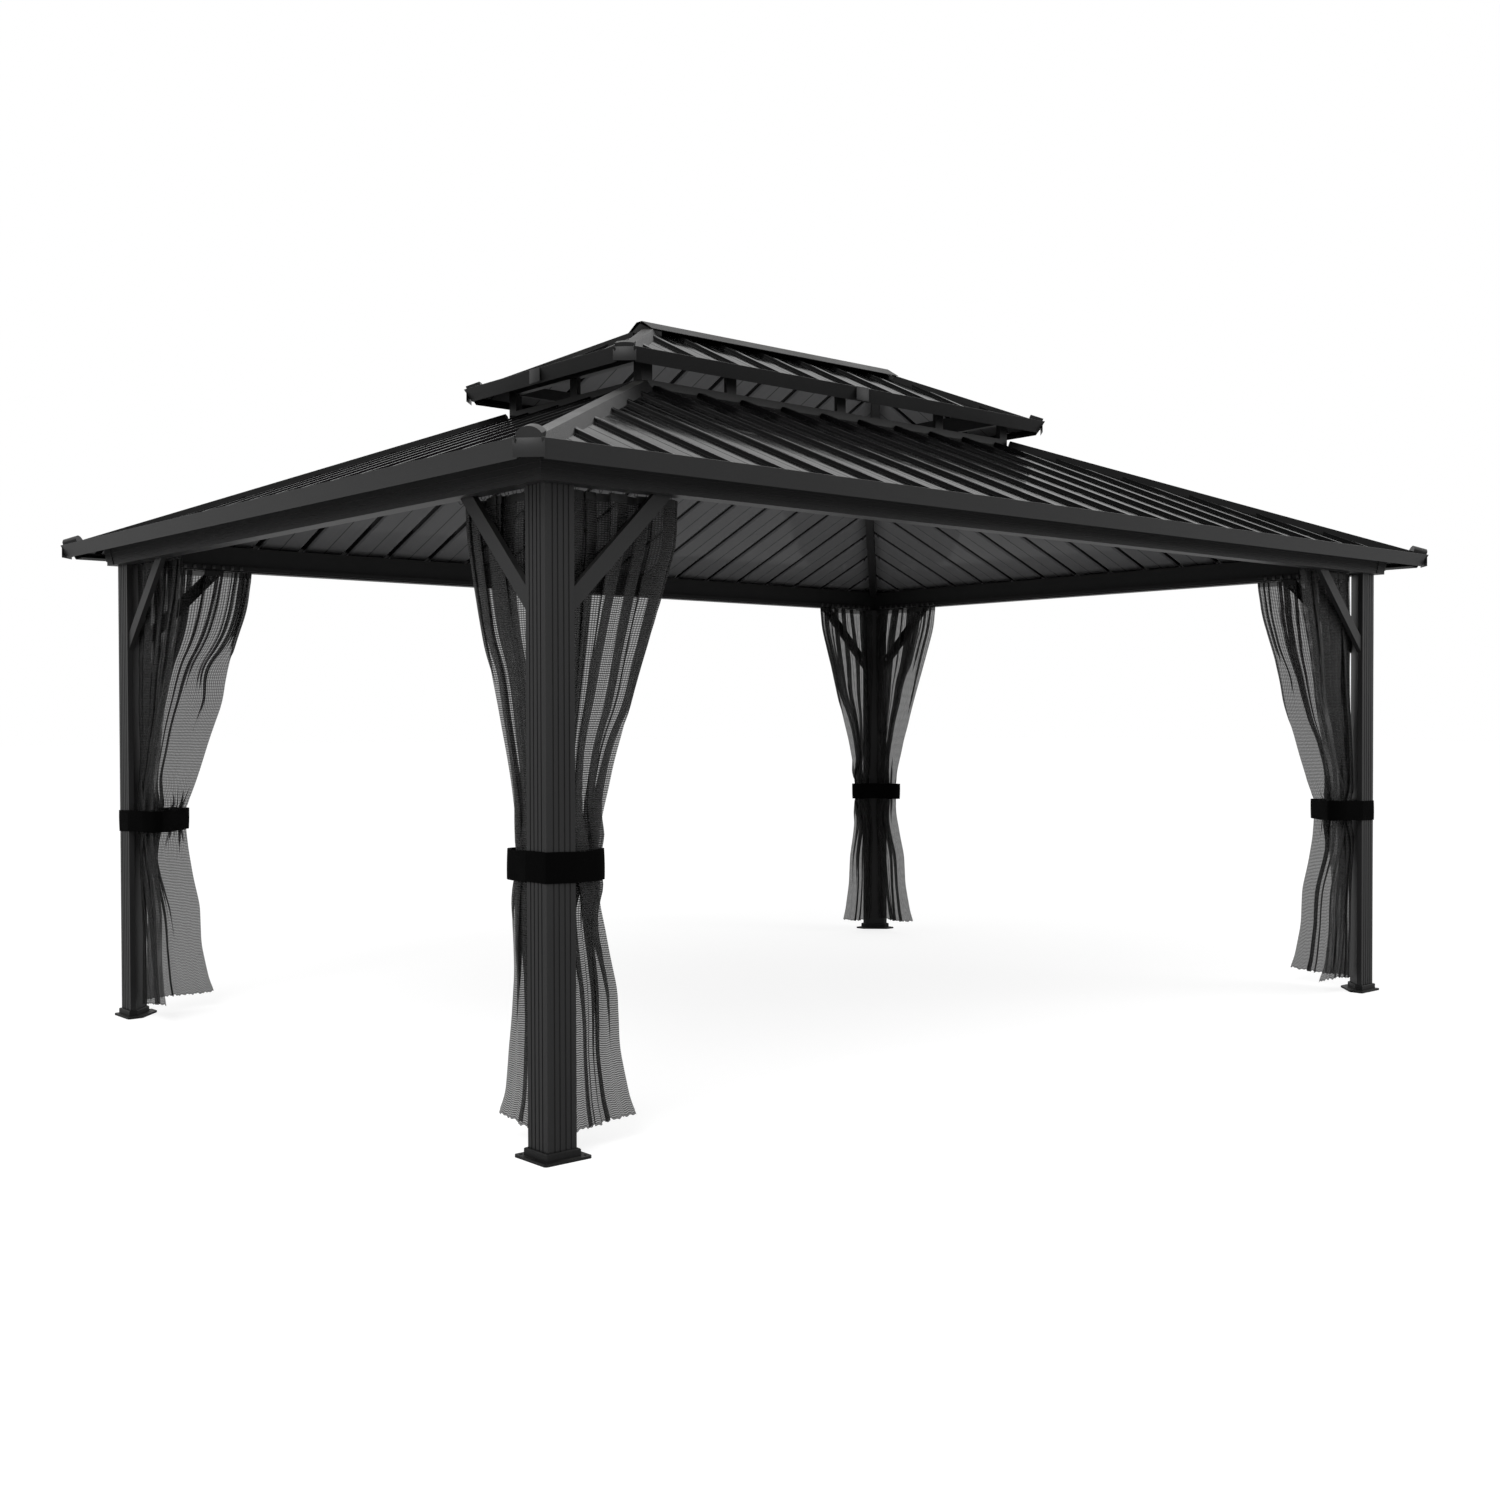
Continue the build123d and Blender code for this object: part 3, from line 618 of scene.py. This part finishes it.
def add_plate(bm, middle, sides, turn=0.0, edge=0.0006):
    """Small plate with eased edges: length along its turn, thickness, height."""
    stand = Matrix.Translation(middle) @ Matrix.Rotation(turn, 4, "Z")
    block = bmesh.ops.create_cube(bm, size=1.0, matrix=stand @ Matrix.Diagonal((*sides, 1)))
    ease_edges(bm, block_edges(block), edge)


# Netting curtains


class Pleat:
    """One fold of a curtain: where it lies in the cloth, how wide it is and where it fades."""

    def __init__(self, centre, width, sign, strength, fade, lasts):
        self.centre = centre
        self.width = width
        self.sign = sign
        self.strength = strength
        self.fade = fade
        self.lasts = lasts

    def heading(self, places, centre, amount, spread):
        """Turn of the cloth along its width: forward outside the pleat, back inside it."""
        width = self.width * spread
        soft = width * 0.3
        near, far = (places - centre + width) / soft, (places - centre - width) / soft
        inside = np.tanh(near) - np.tanh(far)
        return self.sign * self.strength * amount * inside / 2


class NetShape:
    """How one gathered curtain hangs: its outer edge, pleats and hem."""

    def __init__(self, seed, reaches, edge, flare, broad, fine, inner):
        self.random = random.Random(seed)
        self.reach, self.waist, self.hem_reach = reaches
        self.edge = edge
        self.flare = flare
        self.inner = inner
        self.phases = [self.random.uniform(0, 2 * math.pi) for _ in range(12)]
        self.top = POST_HIGH.z - NET_GAP
        self.tie_top = TIE_HIGH.z
        self.tie_low = TIE_LOW.z
        self.hem = NET_BOTTOM + NET_GAP
        self.pleats = self.spread(broad, fine)

    def spread(self, broad, fine):
        """Broad pleats near the post and fine ones towards the outer edge."""
        draw = self.random
        pleats = []
        inner = self.inner
        for index in range(broad):
            centre = inner * (index + 0.5 + draw.uniform(-0.16, 0.16)) / broad
            width = inner / broad * draw.uniform(0.165, 0.2)
            sign = 1 if index % 2 else -1
            lasts = 1.0 if draw.random() < 0.6 else draw.uniform(0.1, 0.5)
            pleats.append(Pleat(centre, width, sign, draw.uniform(2.3, 2.9), 0.0, lasts))
        for index in range(fine):
            centre = inner + (1 - inner) * (index + 0.55 + draw.uniform(-0.25, 0.25)) / fine
            width = draw.uniform(0.0045, 0.009)
            sign = 1 if index % 2 else -1
            strength, fade = draw.uniform(2.2, 2.9), draw.uniform(0.3, 0.75)
            pleats.append(Pleat(centre, width, sign, strength, fade, 0.0))
        return pleats

    def drift(self, value, index):
        """Slow wander between -1 and 1 along a value."""
        a, b = self.phases[index % 12], self.phases[(index + 5) % 12]
        return 0.6 * math.sin(value * 1.7 + a) + 0.4 * math.sin(value * 3.9 + b)

    def outer(self, height):
        """Distance of the outer edge from the start of the curtain."""
        if height >= self.tie_top:
            share = (height - self.tie_top) / (self.top - self.tie_top)
            return self.waist + (self.reach - self.waist) * rounded_line(self.edge, share)
        if height >= self.tie_low:
            return self.waist
        share = (self.tie_low - height) / (self.tie_low - self.hem)
        return self.waist + (self.hem_reach - self.waist) * rounded_line(self.flare, share)

    def amount(self, pleat, height):
        """Strength of a pleat at a height: full at the tie, fading towards the rail or the hem."""
        if height >= self.tie_low:
            share = max(0.0, (height - self.tie_top) / (self.top - self.tie_top))
            if pleat.fade == 0.0:
                return 1.0
            held = 1.0 - smooth_share(share / 0.22)
            return max(0.75 * held, smooth_share((share - pleat.fade + 0.12) / 0.24))
        share = (self.tie_low - height) / (self.tie_low - self.hem)
        if pleat.fade > 0.0:
            return 0.75 * (1.0 - smooth_share(share / 0.3))
        return pleat.lasts + (1.0 - pleat.lasts) * (1.0 - smooth_share((share - 0.15) / 0.7))


def rounded_line(points, value):
    """Value on a rounded line through a few (share, value) points."""
    places = np.array([p for p, _ in points])
    values = np.array([v for _, v in points])
    span = np.linspace(value - 0.04, value + 0.04, 7).clip(0, 1)
    return float(np.interp(span, places, values).mean())


def net_rows(shape, columns, rows):
    """Positions (along, depth, height) of a gathered curtain, row by row from the top."""
    steps = np.linspace(0, 1, columns)
    middles = (steps[1:] + steps[:-1]) / 2
    tie = (shape.tie_top + shape.tie_low) / 2
    grid = np.zeros((rows, columns, 3))
    for row in range(rows):
        share = row / (rows - 1)
        height = shape.top + (shape.hem - shape.top) * share
        spread = 1.0 + 0.5 * math.exp(-(((height - tie) / 0.24) ** 2))
        turn = 0.4 * np.sin(middles * 41 + shape.phases[4] + 1.3 * shape.drift(share * 2, 5))
        for pleat in shape.pleats:
            centre = pleat.centre + 0.02 * shape.drift(share * 2.4 + pleat.centre * 2, 3)
            turn = turn + pleat.heading(middles, centre, shape.amount(pleat, height), spread)
        along = np.concatenate([[0.0], np.cumsum(np.cos(turn))])
        depth = np.concatenate([[0.0], np.cumsum(np.sin(turn))])
        depth = depth - np.linspace(depth[0], depth[-1], columns)
        span = along.max() - along.min()
        along = (along - along.min()) / span
        reach = shape.outer(height)
        depth = (depth - (depth.max() + depth.min()) / 2) / span * reach
        depth = depth * min(1.0, FOLD_DEPTH / (depth.max() - depth.min()))
        inner = 0.005 * shape.drift(share * 6, 6)
        grid[row, :, 0] = NET_START + inner + along * (reach - inner)
        grid[row, :, 1] = NET_INSET + NET_DEPTH / 2 + depth
        frill = np.sin(steps * 57 + shape.phases[7]) * 0.5
        frill = frill + np.sin(steps * 131 + shape.phases[8]) * 0.5
        droop = np.sin(along * 4.4 + shape.phases[9])
        grid[row, :, 2] = height + (frill * 0.004 + droop * 0.006 + (along - 0.6) * 0.014) * share**9
    return grid


def net_piece(name, corner, along_x, shape, sizes, material, node):
    """One netting curtain as a single sheet, with its map in metres."""
    columns, rows = sizes.columns, sizes.rows
    grid = net_rows(shape, columns, rows)
    bm = bmesh.new()
    bmesh.ops.create_grid(bm, x_segments=columns - 1, y_segments=rows - 1, size=1.0)
    lengths = np.linalg.norm(np.diff(grid, axis=1), axis=2)
    widths = np.concatenate([[0.0], np.cumsum(lengths.mean(axis=0))])
    tall = shape.top - shape.hem
    cloth = bm.loops.layers.uv.new("cloth")
    binding = bm.verts.layers.float.new("binding")
    shares = {}
    for vert in bm.verts:
        down = (1 - vert.co.y) / 2
        column = round((vert.co.x + 1) / 2 * (columns - 1))
        row = round(down * (rows - 1))
        along, depth, height = grid[row, column]
        shares[vert.index] = (widths[column], down)
        vert.co = corner_point(corner, along, depth, height, along_x)
        bound = down * tall < sizes.header or (1 - down) * tall < sizes.hem
        edge = min(widths[column], widths[-1] - widths[column]) < SELVEDGE
        vert[binding] = 1.0 if bound else 0.5 * edge
    for face in bm.faces:
        for loop in face.loops:
            across, down = shares[loop.vert.index]
            loop[cloth].uv = (across, (1 - down) * tall)
    made = piece(name, bm, material, (node,), sharp=181.0)
    return made


# Outer edges above and below the tie: share of the height, share of the reach
STRAIGHT_EDGE = (
    (0, 0), (0.09, 0.13), (0.28, 0.34), (0.45, 0.55), (0.52, 0.58), (0.62, 0.66), (0.84, 0.92), (1, 1)
)
SOFT_EDGE = ((0, 0), (0.1, 0.07), (0.25, 0.19), (0.42, 0.4), (0.71, 0.75), (0.88, 0.95), (1, 1))
EARLY_FLARE = (
    (0, 0), (0.14, 0.08), (0.29, 0.22), (0.47, 0.47), (0.7, 0.52), (0.81, 0.65), (0.94, 0.82), (1, 1)
)
LATE_FLARE = (
    (0, 0), (0.08, 0.22), (0.16, 0.3), (0.39, 0.12), (0.66, 0.27), (0.79, 0.4), (0.91, 0.55), (1, 1)
)


def net_shapes():
    """How each of the eight curtains hangs: seed, reach at rail, tie and hem, upper and lower edge,
    broad and fine pleats, and the share of the cloth that the broad ones take."""
    return {
        ("front_left", True): NetShape(11, (0.432, 0.137, 0.275), SOFT_EDGE, EARLY_FLARE, 10, 2, 0.92),
        ("front_left", False): NetShape(12, (0.444, 0.168, 0.258), SOFT_EDGE, LATE_FLARE, 10, 2, 0.92),
        ("back_left", True): NetShape(13, (0.472, 0.172, 0.292), STRAIGHT_EDGE, EARLY_FLARE, 7, 9, 0.64),
        ("back_left", False): NetShape(14, (0.440, 0.150, 0.260), SOFT_EDGE, EARLY_FLARE, 9, 4, 0.8),
        ("front_right", True): NetShape(15, (0.440, 0.150, 0.265), STRAIGHT_EDGE, LATE_FLARE, 9, 4, 0.82),
        ("front_right", False): NetShape(16, (0.472, 0.172, 0.292), STRAIGHT_EDGE, EARLY_FLARE, 9, 5, 0.8),
        ("back_right", True): NetShape(17, (0.424, 0.138, 0.240), SOFT_EDGE, EARLY_FLARE, 10, 2, 0.9),
        ("back_right", False): NetShape(18, (0.472, 0.156, 0.290), SOFT_EDGE, EARLY_FLARE, 8, 4, 0.82),
    }


def strap_piece(name, corner, waists, material):
    """Soft strap round a post and its two gathered curtains."""
    along_x, along_y = (NET_START + waist for waist in waists)
    near, far = NET_INSET, NET_INSET + NET_DEPTH
    outline = [
        (-0.001, -0.001),
        (POST_WIDTH, -0.001),
        (along_x - 0.03, near - 0.012),
        (along_x + 0.004, near + 0.008),
        (along_x + 0.004, far - 0.004),
        (far - 0.004, along_y + 0.004),
        (near + 0.008, along_y + 0.004),
        (near - 0.012, along_y - 0.03),
        (-0.001, POST_WIDTH),
    ]
    bm = bmesh.new()
    verts = []
    for along, depth in outline:
        place = corner_point(corner, along, depth, TIE_LOW.z, True)
        verts.append(bm.verts.new(place))
    bm.faces.new(verts)
    for corners, radius in ((verts[:2] + verts[-1:], STRAP_CORNER), (verts[2:-1], STRAP_ROUND)):
        bmesh.ops.bevel(
            bm, geom=corners, offset=radius, segments=5, profile=0.5, affect="VERTICES", material=-1
        )
    face = bm.faces[:][0]
    raised = list(face.edges)
    bmesh.ops.delete(bm, geom=[face], context="FACES_ONLY")
    for _ in range(STRAP_LAYERS):
        grown = bmesh.ops.extrude_edge_only(bm, edges=raised)["geom"]
        raised = [part for part in grown if isinstance(part, bmesh.types.BMEdge)]
        drag_copy(bm, grown, (0, 0, (TIE_HIGH.z - TIE_LOW.z) / STRAP_LAYERS))
    long_edges = [e for e in bm.edges if e.calc_length() > 0.02]
    bmesh.ops.subdivide_edges(bm, edges=long_edges, cuts=4, use_grid_fill=True)
    bmesh.ops.recalc_face_normals(bm, faces=bm.faces)
    middle = sum((v.co for v in bm.verts), Vector()) / len(bm.verts)
    for vert in bm.verts:
        share = (vert.co.z - TIE_LOW.z) / (TIE_HIGH.z - TIE_LOW.z)
        away = vert.co - middle
        away.z = 0
        turn = math.atan2(away.y, away.x)
        pinch = 0.0018 * math.sin(turn * 5 + 1.3) * (2 * share - 1)
        vert.co += away.normalized() * (0.001 * math.sin(share * math.pi) + pinch * 0.6)
        vert.co.z += 0.0022 * math.sin(turn * 2 + 0.6)
    bmesh.ops.solidify(bm, geom=bm.faces, thickness=-STRAP_WALL)
    cloth = bm.loops.layers.uv.new("cloth")
    for face in bm.faces:
        for loop in face.loops:
            away = loop.vert.co - middle
            turn = math.atan2(away.y, away.x)
            loop[cloth].uv = (turn * 0.09, loop.vert.co.z)
    return piece(name, bm, material, ("curtain_ties",), sharp=50.0)


# Operators


class GAZEBO_OT_dress_frame(bpy.types.Operator):
    """Put the coats on every piece of the metal frame and roof"""

    bl_idname = "gazebo.dress_frame"
    bl_label = "Coat the frame and roof"

    def execute(self, context):
        paint = context.scene.gazebo_finish
        coats = {}
        along = {"x": (4.0, 300.0, 300.0), "y": (300.0, 4.0, 300.0), "z": (300.0, 300.0, 3.0)}
        rolled = {"x": (0.1, 120.0, 0.1), "y": (120.0, 0.1, 0.1)}
        for axis, scale in along.items():
            coats["frame_" + axis] = powder_coat(
                "Frame coat " + axis, paint.frame_colour, paint.frame_roughness, 0.18, scale
            )
            coats["trim_" + axis] = powder_coat(
                "Trim coat " + axis, paint.trim_colour, paint.trim_roughness, 0.2, scale
            )
        for axis, scale in rolled.items():
            across = "Y" if axis == "x" else "X"
            colours = (paint.roof_colour, paint.backing_colour)
            coats["roof_" + axis] = coil_coat(
                "Roof coat " + axis, *colours, paint.roof_roughness, 0.02, scale, across
            )
        coats["cap"] = powder_coat("Cap coat", paint.cap_colour, 0.3, 0.06, (60.0, 60.0, 60.0))
        coats["foot"] = powder_coat("Foot coat", paint.foot_colour, 0.5, 0.15, (60.0, 60.0, 60.0))
        for name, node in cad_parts.items():
            coat = coats[coat_for(name)]
            if not node.material_slots:
                node.data.materials.append(coat)
            for slot in node.material_slots:
                slot.material = coat
        return {"FINISHED"}


def coat_for(name):
    """Which coat a CAD piece takes."""
    long_side = name.endswith(("_front", "_back"))
    if name.startswith(("post_", "vent_struts", "braces_")):
        return "frame_z"
    if name.startswith("foot_"):
        return "foot"
    if name.startswith(("lower_sheet", "upper_sheet")):
        return "roof_y" if long_side else "roof_x"
    if name.startswith(("lower_fascia", "lower_corner_", "upper_fascia", "upper_corner_")):
        return "trim_x" if long_side or name.startswith("upper") else "trim_y"
    if name in ("lower_hip_caps", "upper_hip_caps", "ridge_cap"):
        return "cap"
    if name.startswith(("beam_left", "beam_right")):
        return "frame_y"
    return "frame_x"


class GAZEBO_OT_lay_sheets(bpy.types.Operator):
    """Lay the pressed roof sheets over both tiers"""

    bl_idname = "gazebo.lay_sheets"
    bl_label = "Lay the roof sheets"

    def execute(self, context):
        for tier in (LOWER_ROOF, UPPER_ROOF):
            for side in SIDES:
                node = f"{tier.name}_sheet_{side}"
                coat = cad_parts[node].material_slots[0].material
                ribbed_sheet(tier, side, coat, node)
        return {"FINISHED"}


def ridge_end(sign, material):
    """Roof-shaped filler under one end of the ridge cap, where both hip caps run in."""
    bm = bmesh.new()
    outline = [(-0.080, 2.792), (0.080, 2.792), (0.080, 2.812), (0.0, 2.850), (-0.080, 2.812)]
    face = bm.faces.new([bm.verts.new((sign * RIDGE_END_START, y, z)) for y, z in outline])
    grown = bmesh.ops.extrude_face_region(bm, geom=[face])["geom"]
    drag_copy(bm, grown, (sign * RIDGE_END_LENGTH, 0.0, 0.0))
    bmesh.ops.recalc_face_normals(bm, faces=bm.faces)
    ease_edges(bm, bm.edges[:], 0.001)
    piece("ridge_end_right" if sign > 0 else "ridge_end_left", bm, material)


class GAZEBO_OT_trim_roof(bpy.types.Operator):
    """Close the fascia corners and the ridge cap's ends, and join the upper fascias"""

    bl_idname = "gazebo.trim_roof"
    bl_label = "Trim the roof"

    def execute(self, context):
        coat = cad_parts["upper_fascia"].material_slots[0].material
        bm = bmesh.new()
        for tier in (LOWER_ROOF, UPPER_ROOF):
            liner_x, liner_y = tier.half_x - LINER_INSET_X, tier.half_y - LINER_INSET_Y
            for sign_x, sign_y in CORNERS.values():
                place = (sign_x * liner_x, sign_y * liner_y, tier.height + FASCIA_MIDDLE)
                sides = (LINER_LENGTH, LINER_WALL, FASCIA_TALL)
                add_plate(bm, place, sides, -sign_x * sign_y * math.pi / 4)
        piece("corner_liners", bm, coat)
        bm = bmesh.new()
        face_x, face_y = UPPER_ROOF.half_x + FASCIA_OUT, UPPER_ROOF.half_y + FASCIA_OUT
        height = UPPER_ROOF.height + FASCIA_MIDDLE
        sides = (SLEEVE_LENGTH, SLEEVE_WALL, FASCIA_TALL + SLEEVE_EXTRA)
        for sign in (-1, 1):
            add_plate(bm, (0, sign * face_y, height), sides)
            add_plate(bm, (sign * face_x, 0, height), sides, math.pi / 2)
        piece("fascia_sleeves", bm, coat)
        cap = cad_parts["ridge_cap"].material_slots[0].material
        for sign in (-1, 1):
            ridge_end(sign, cap)
        return {"FINISHED"}


def wing_name(corner, along_x):
    """Corner and side of the gazebo that a curtain hangs on."""
    return corner + ("_long" if along_x else "_short")


class GAZEBO_OT_hang_netting(bpy.types.Operator):
    """Hang the eight gathered netting curtains from the rails"""

    bl_idname = "gazebo.hang_netting"
    bl_label = "Hang the netting"

    def execute(self, context):
        sizes = context.scene.gazebo_net
        paint = context.scene.gazebo_finish
        cloth = netting_cloth("Netting", paint.net_colour, sizes.cell, sizes.thread, sizes.veil)
        for (corner, along_x), shape in net_shapes().items():
            name = "net_" + wing_name(corner, along_x)
            net_piece(name, corner, along_x, shape, sizes, cloth, "curtain_" + corner)
        return {"FINISHED"}


class GAZEBO_OT_tie_netting(bpy.types.Operator):
    """Wrap a webbing strap round each post and its two curtains"""

    bl_idname = "gazebo.tie_netting"
    bl_label = "Tie the netting"

    def execute(self, context):
        strap = webbing("Strap webbing", context.scene.gazebo_finish.strap_colour)
        shapes = net_shapes()
        for corner in CORNERS:
            waists = (shapes[corner, True].waist, shapes[corner, False].waist)
            strap_piece("tie_" + corner, corner, waists, strap)
        return {"FINISHED"}


class GAZEBO_OT_fit_runners(bpy.types.Operator):
    """Fit the runners and hooks that carry each curtain on its rail"""

    bl_idname = "gazebo.fit_runners"
    bl_label = "Fit the curtain runners"

    def execute(self, context):
        nylon = moulded_nylon("Runner nylon", (0.012, 0.012, 0.012))
        gap = context.scene.gazebo_fastener.runner_gap
        for (corner, along_x), shape in net_shapes().items():
            bm = bmesh.new()
            count = int((shape.reach - 0.02) / gap)
            for index in range(count + 1):
                along = NET_START + RUNNER_FIRST + index * gap
                add_runner(bm, corner, along, along_x)
            piece("runners_" + wing_name(corner, along_x), bm, nylon)
        return {"FINISHED"}


def add_runner(bm, corner, along, along_x):
    """Slider on the rail's inner face with a hook down to the header."""
    rail_depth = POST_Y + RAIL_LOW.y
    middle = RAIL_LOW.z + 0.009
    depth = rail_depth + 0.016 + 0.003
    place = corner_point(corner, along, depth, middle, along_x)
    turn = Matrix.Rotation(0.0 if along_x else math.pi / 2, 4, "Z")
    slider = Matrix.Translation(place) @ turn @ Matrix.Diagonal((*RUNNER_SIDES, 1))
    ease_edges(bm, block_edges(bmesh.ops.create_cube(bm, size=1.0, matrix=slider)), 0.0012)
    ring = corner_point(corner, along, depth - 0.001, middle - 0.0145, along_x)
    stand = Matrix.Translation(ring) @ turn @ Matrix.Rotation(math.pi / 2, 4, "Y")
    upright = Matrix.Rotation(math.pi / 2, 4, "X")
    wire = stand @ Matrix.Translation((HOOK_RADIUS, 0, 0)) @ upright
    circle = bmesh.ops.create_circle(bm, segments=8, radius=HOOK_WIRE, matrix=wire)
    bmesh.ops.spin(
        bm,
        geom=block_edges(circle),
        cent=ring,
        axis=(stand.to_3x3() @ Vector((0, 0, 1))),
        angle=2 * math.pi,
        steps=16,
        use_merge=True,
    )


class GAZEBO_OT_screw_roof(bpy.types.Operator):
    """Screw the lower sheets down along the eaves"""

    bl_idname = "gazebo.screw_roof"
    bl_label = "Screw the roof down"

    def execute(self, context):
        across = context.scene.gazebo_fastener.screw_across
        paint = context.scene.gazebo_finish
        coat = powder_coat("Painted screws", paint.roof_colour, 0.35, 0.5, (60.0, 60.0, 60.0))
        bm = bmesh.new()
        for side in SIDES:
            count = pan_count(LOWER_ROOF.half(side))
            for index in range(-count, count + 1):
                place = LOWER_ROOF.point(side, index * RIB_PITCH, SCREW_SETBACK)
                add_screw(bm, place, LOWER_ROOF.normal(side), across, turn=index * GOLDEN_TURN)
        piece("eave_screws", bm, coat)
        return {"FINISHED"}


class GAZEBO_OT_bolt_frame(bpy.types.Operator):
    """Bolt the braces to the posts and beams"""

    bl_idname = "gazebo.bolt_frame"
    bl_label = "Bolt the frame together"

    def execute(self, context):
        across = context.scene.gazebo_fastener.bolt_across
        steel = zinc("Plated steel", context.scene.gazebo_finish.metal_colour, 0.38)
        bm = bmesh.new()
        for corner in CORNERS:
            for along_x in (True, False):
                outer = corner_point(corner, 0, 0, 0, along_x)
                inward = corner_point(corner, 0, 1, 0, along_x) - outer
                for reach, drop in BOLT_PLACES:
                    along = POST_WIDTH + reach
                    place = corner_point(corner, along, BOLT_DEPTH, POST_HIGH.z - drop, along_x)
                    add_screw(bm, place, inward, across, turn=along * 40)
        piece("brace_bolts", bm, steel)
        return {"FINISHED"}


class GAZEBO_OT_set_stage(bpy.types.Operator):
    """Set the floor, soft lamps, world and camera"""

    bl_idname = "gazebo.set_stage"
    bl_label = "Set the studio"

    def execute(self, context):
        scene = context.scene
        scene.view_settings.view_transform = "Standard"
        scene.world = studio_world()
        lay_floor(scene)
        add_lamp(scene, "Key lamp", (-9.0, -5.0, 8.5), (0, 0, 1.2), 6.0, 900.0)
        add_lamp(scene, "Fill lamp", (7.5, -8.0, 5.0), (0, 0, 1.2), 6.0, 260.0)
        camera = bpy.data.objects.new("Camera", bpy.data.cameras.new("Camera"))
        scene.collection.objects.link(camera)
        camera.location = CAMERA_PLACE
        camera.rotation_euler = [math.radians(turn) for turn in CAMERA_TURN]
        camera.data.sensor_width = 36.0
        camera.data.lens = CAMERA_LENS
        camera.data.clip_end = 200.0
        scene.camera = camera
        return {"FINISHED"}


def studio_world():
    """White to the camera and in reflections, and a plain soft light on the object."""
    recipe = Recipe("Studio", world=True)
    camera_ray = recipe.add("LightPath", out="Is Camera Ray")
    glossy_ray = recipe.add("LightPath", out="Is Glossy Ray")
    clear_ray = recipe.add("LightPath", out="Is Transmission Ray")
    seen = camera_ray.larger(glossy_ray).larger(clear_ray)
    white = recipe.add("Background", {}, {"Color": (1, 1, 1, 1), "Strength": 1.0})
    light = recipe.add("Background", {}, {"Color": (1, 1, 1, 1), "Strength": 0.7})
    mixed = recipe.add("MixShader", {}, {0: seen, 1: light, 2: white})
    recipe.add("OutputWorld", {}, {"Surface": mixed})
    return recipe.block


def lay_floor(scene):
    """Pale floor that reads white and keeps a faint shadow."""
    recipe = Recipe("Floor")
    camera_ray = recipe.add("LightPath", out="Is Camera Ray")
    pale = recipe.add("BsdfDiffuse", {}, {"Color": (0.8, 0.8, 0.8, 1)})
    soft = recipe.add("BsdfDiffuse", {}, {"Color": (0.3, 0.3, 0.3, 1)})
    glow = recipe.add("Emission", {}, {"Color": (1, 1, 1, 1), "Strength": 0.8})
    lifted = recipe.add("AddShader", {}, {0: soft, 1: glow})
    mixed = recipe.add("MixShader", {}, {0: camera_ray, 1: pale, 2: lifted})
    recipe.add("OutputMaterial", {}, {"Surface": mixed})
    bm = bmesh.new()
    bmesh.ops.create_grid(bm, x_segments=1, y_segments=1, size=90.0)
    mesh = bpy.data.meshes.new("Floor")
    bm.to_mesh(mesh)
    bm.free()
    floor = bpy.data.objects.new("Floor", mesh)
    floor.data.materials.append(recipe.block)
    scene.collection.objects.link(floor)


def add_lamp(scene, name, place, target, size, power):
    lamp = bpy.data.lights.new(name, "AREA")
    lamp.size = size
    lamp.energy = power
    holder = bpy.data.objects.new(name, lamp)
    holder.location = place
    holder.rotation_euler = (Vector(target) - Vector(place)).to_track_quat("-Z", "Y").to_euler()
    scene.collection.objects.link(holder)


class GAZEBO_PT_panel(bpy.types.Panel):
    """Gazebo pieces and studio"""

    bl_label = "Gazebo"
    bl_idname = "GAZEBO_PT_panel"
    bl_space_type = "VIEW_3D"
    bl_region_type = "UI"
    bl_category = "Gazebo"

    def draw(self, context):
        layout = self.layout
        for operator in OPERATORS:
            layout.operator(operator.bl_idname)
        for name in GROUPS:
            group = getattr(context.scene, name)
            box = layout.box()
            for key in group.bl_rna.properties.keys():
                if key not in ("rna_type", "name"):
                    box.prop(group, key)


OPERATORS = (
    GAZEBO_OT_set_stage,
    GAZEBO_OT_dress_frame,
    GAZEBO_OT_lay_sheets,
    GAZEBO_OT_trim_roof,
    GAZEBO_OT_hang_netting,
    GAZEBO_OT_tie_netting,
    GAZEBO_OT_fit_runners,
    GAZEBO_OT_screw_roof,
    GAZEBO_OT_bolt_frame,
)
GROUPS = {
    "gazebo_finish": GazeboFinishSettings,
    "gazebo_net": GazeboNetSettings,
    "gazebo_fastener": GazeboFastenerSettings,
}


def register():
    for name, group in GROUPS.items():
        bpy.utils.register_class(group)
        setattr(bpy.types.Scene, name, bpy.props.PointerProperty(type=group))
    for operator in OPERATORS:
        bpy.utils.register_class(operator)
    bpy.utils.register_class(GAZEBO_PT_panel)


def unregister():
    bpy.utils.unregister_class(GAZEBO_PT_panel)
    for operator in reversed(OPERATORS):
        bpy.utils.unregister_class(operator)
    for name, group in GROUPS.items():
        delattr(bpy.types.Scene, name)
        bpy.utils.unregister_class(group)


def main():
    register()
    bpy.ops.gazebo.set_stage()
    bpy.ops.gazebo.dress_frame()
    bpy.ops.gazebo.lay_sheets()
    bpy.ops.gazebo.trim_roof()
    bpy.ops.gazebo.hang_netting()
    bpy.ops.gazebo.tie_netting()
    bpy.ops.gazebo.fit_runners()
    bpy.ops.gazebo.screw_roof()
    bpy.ops.gazebo.bolt_frame()


if __name__ == "__main__":
    main()
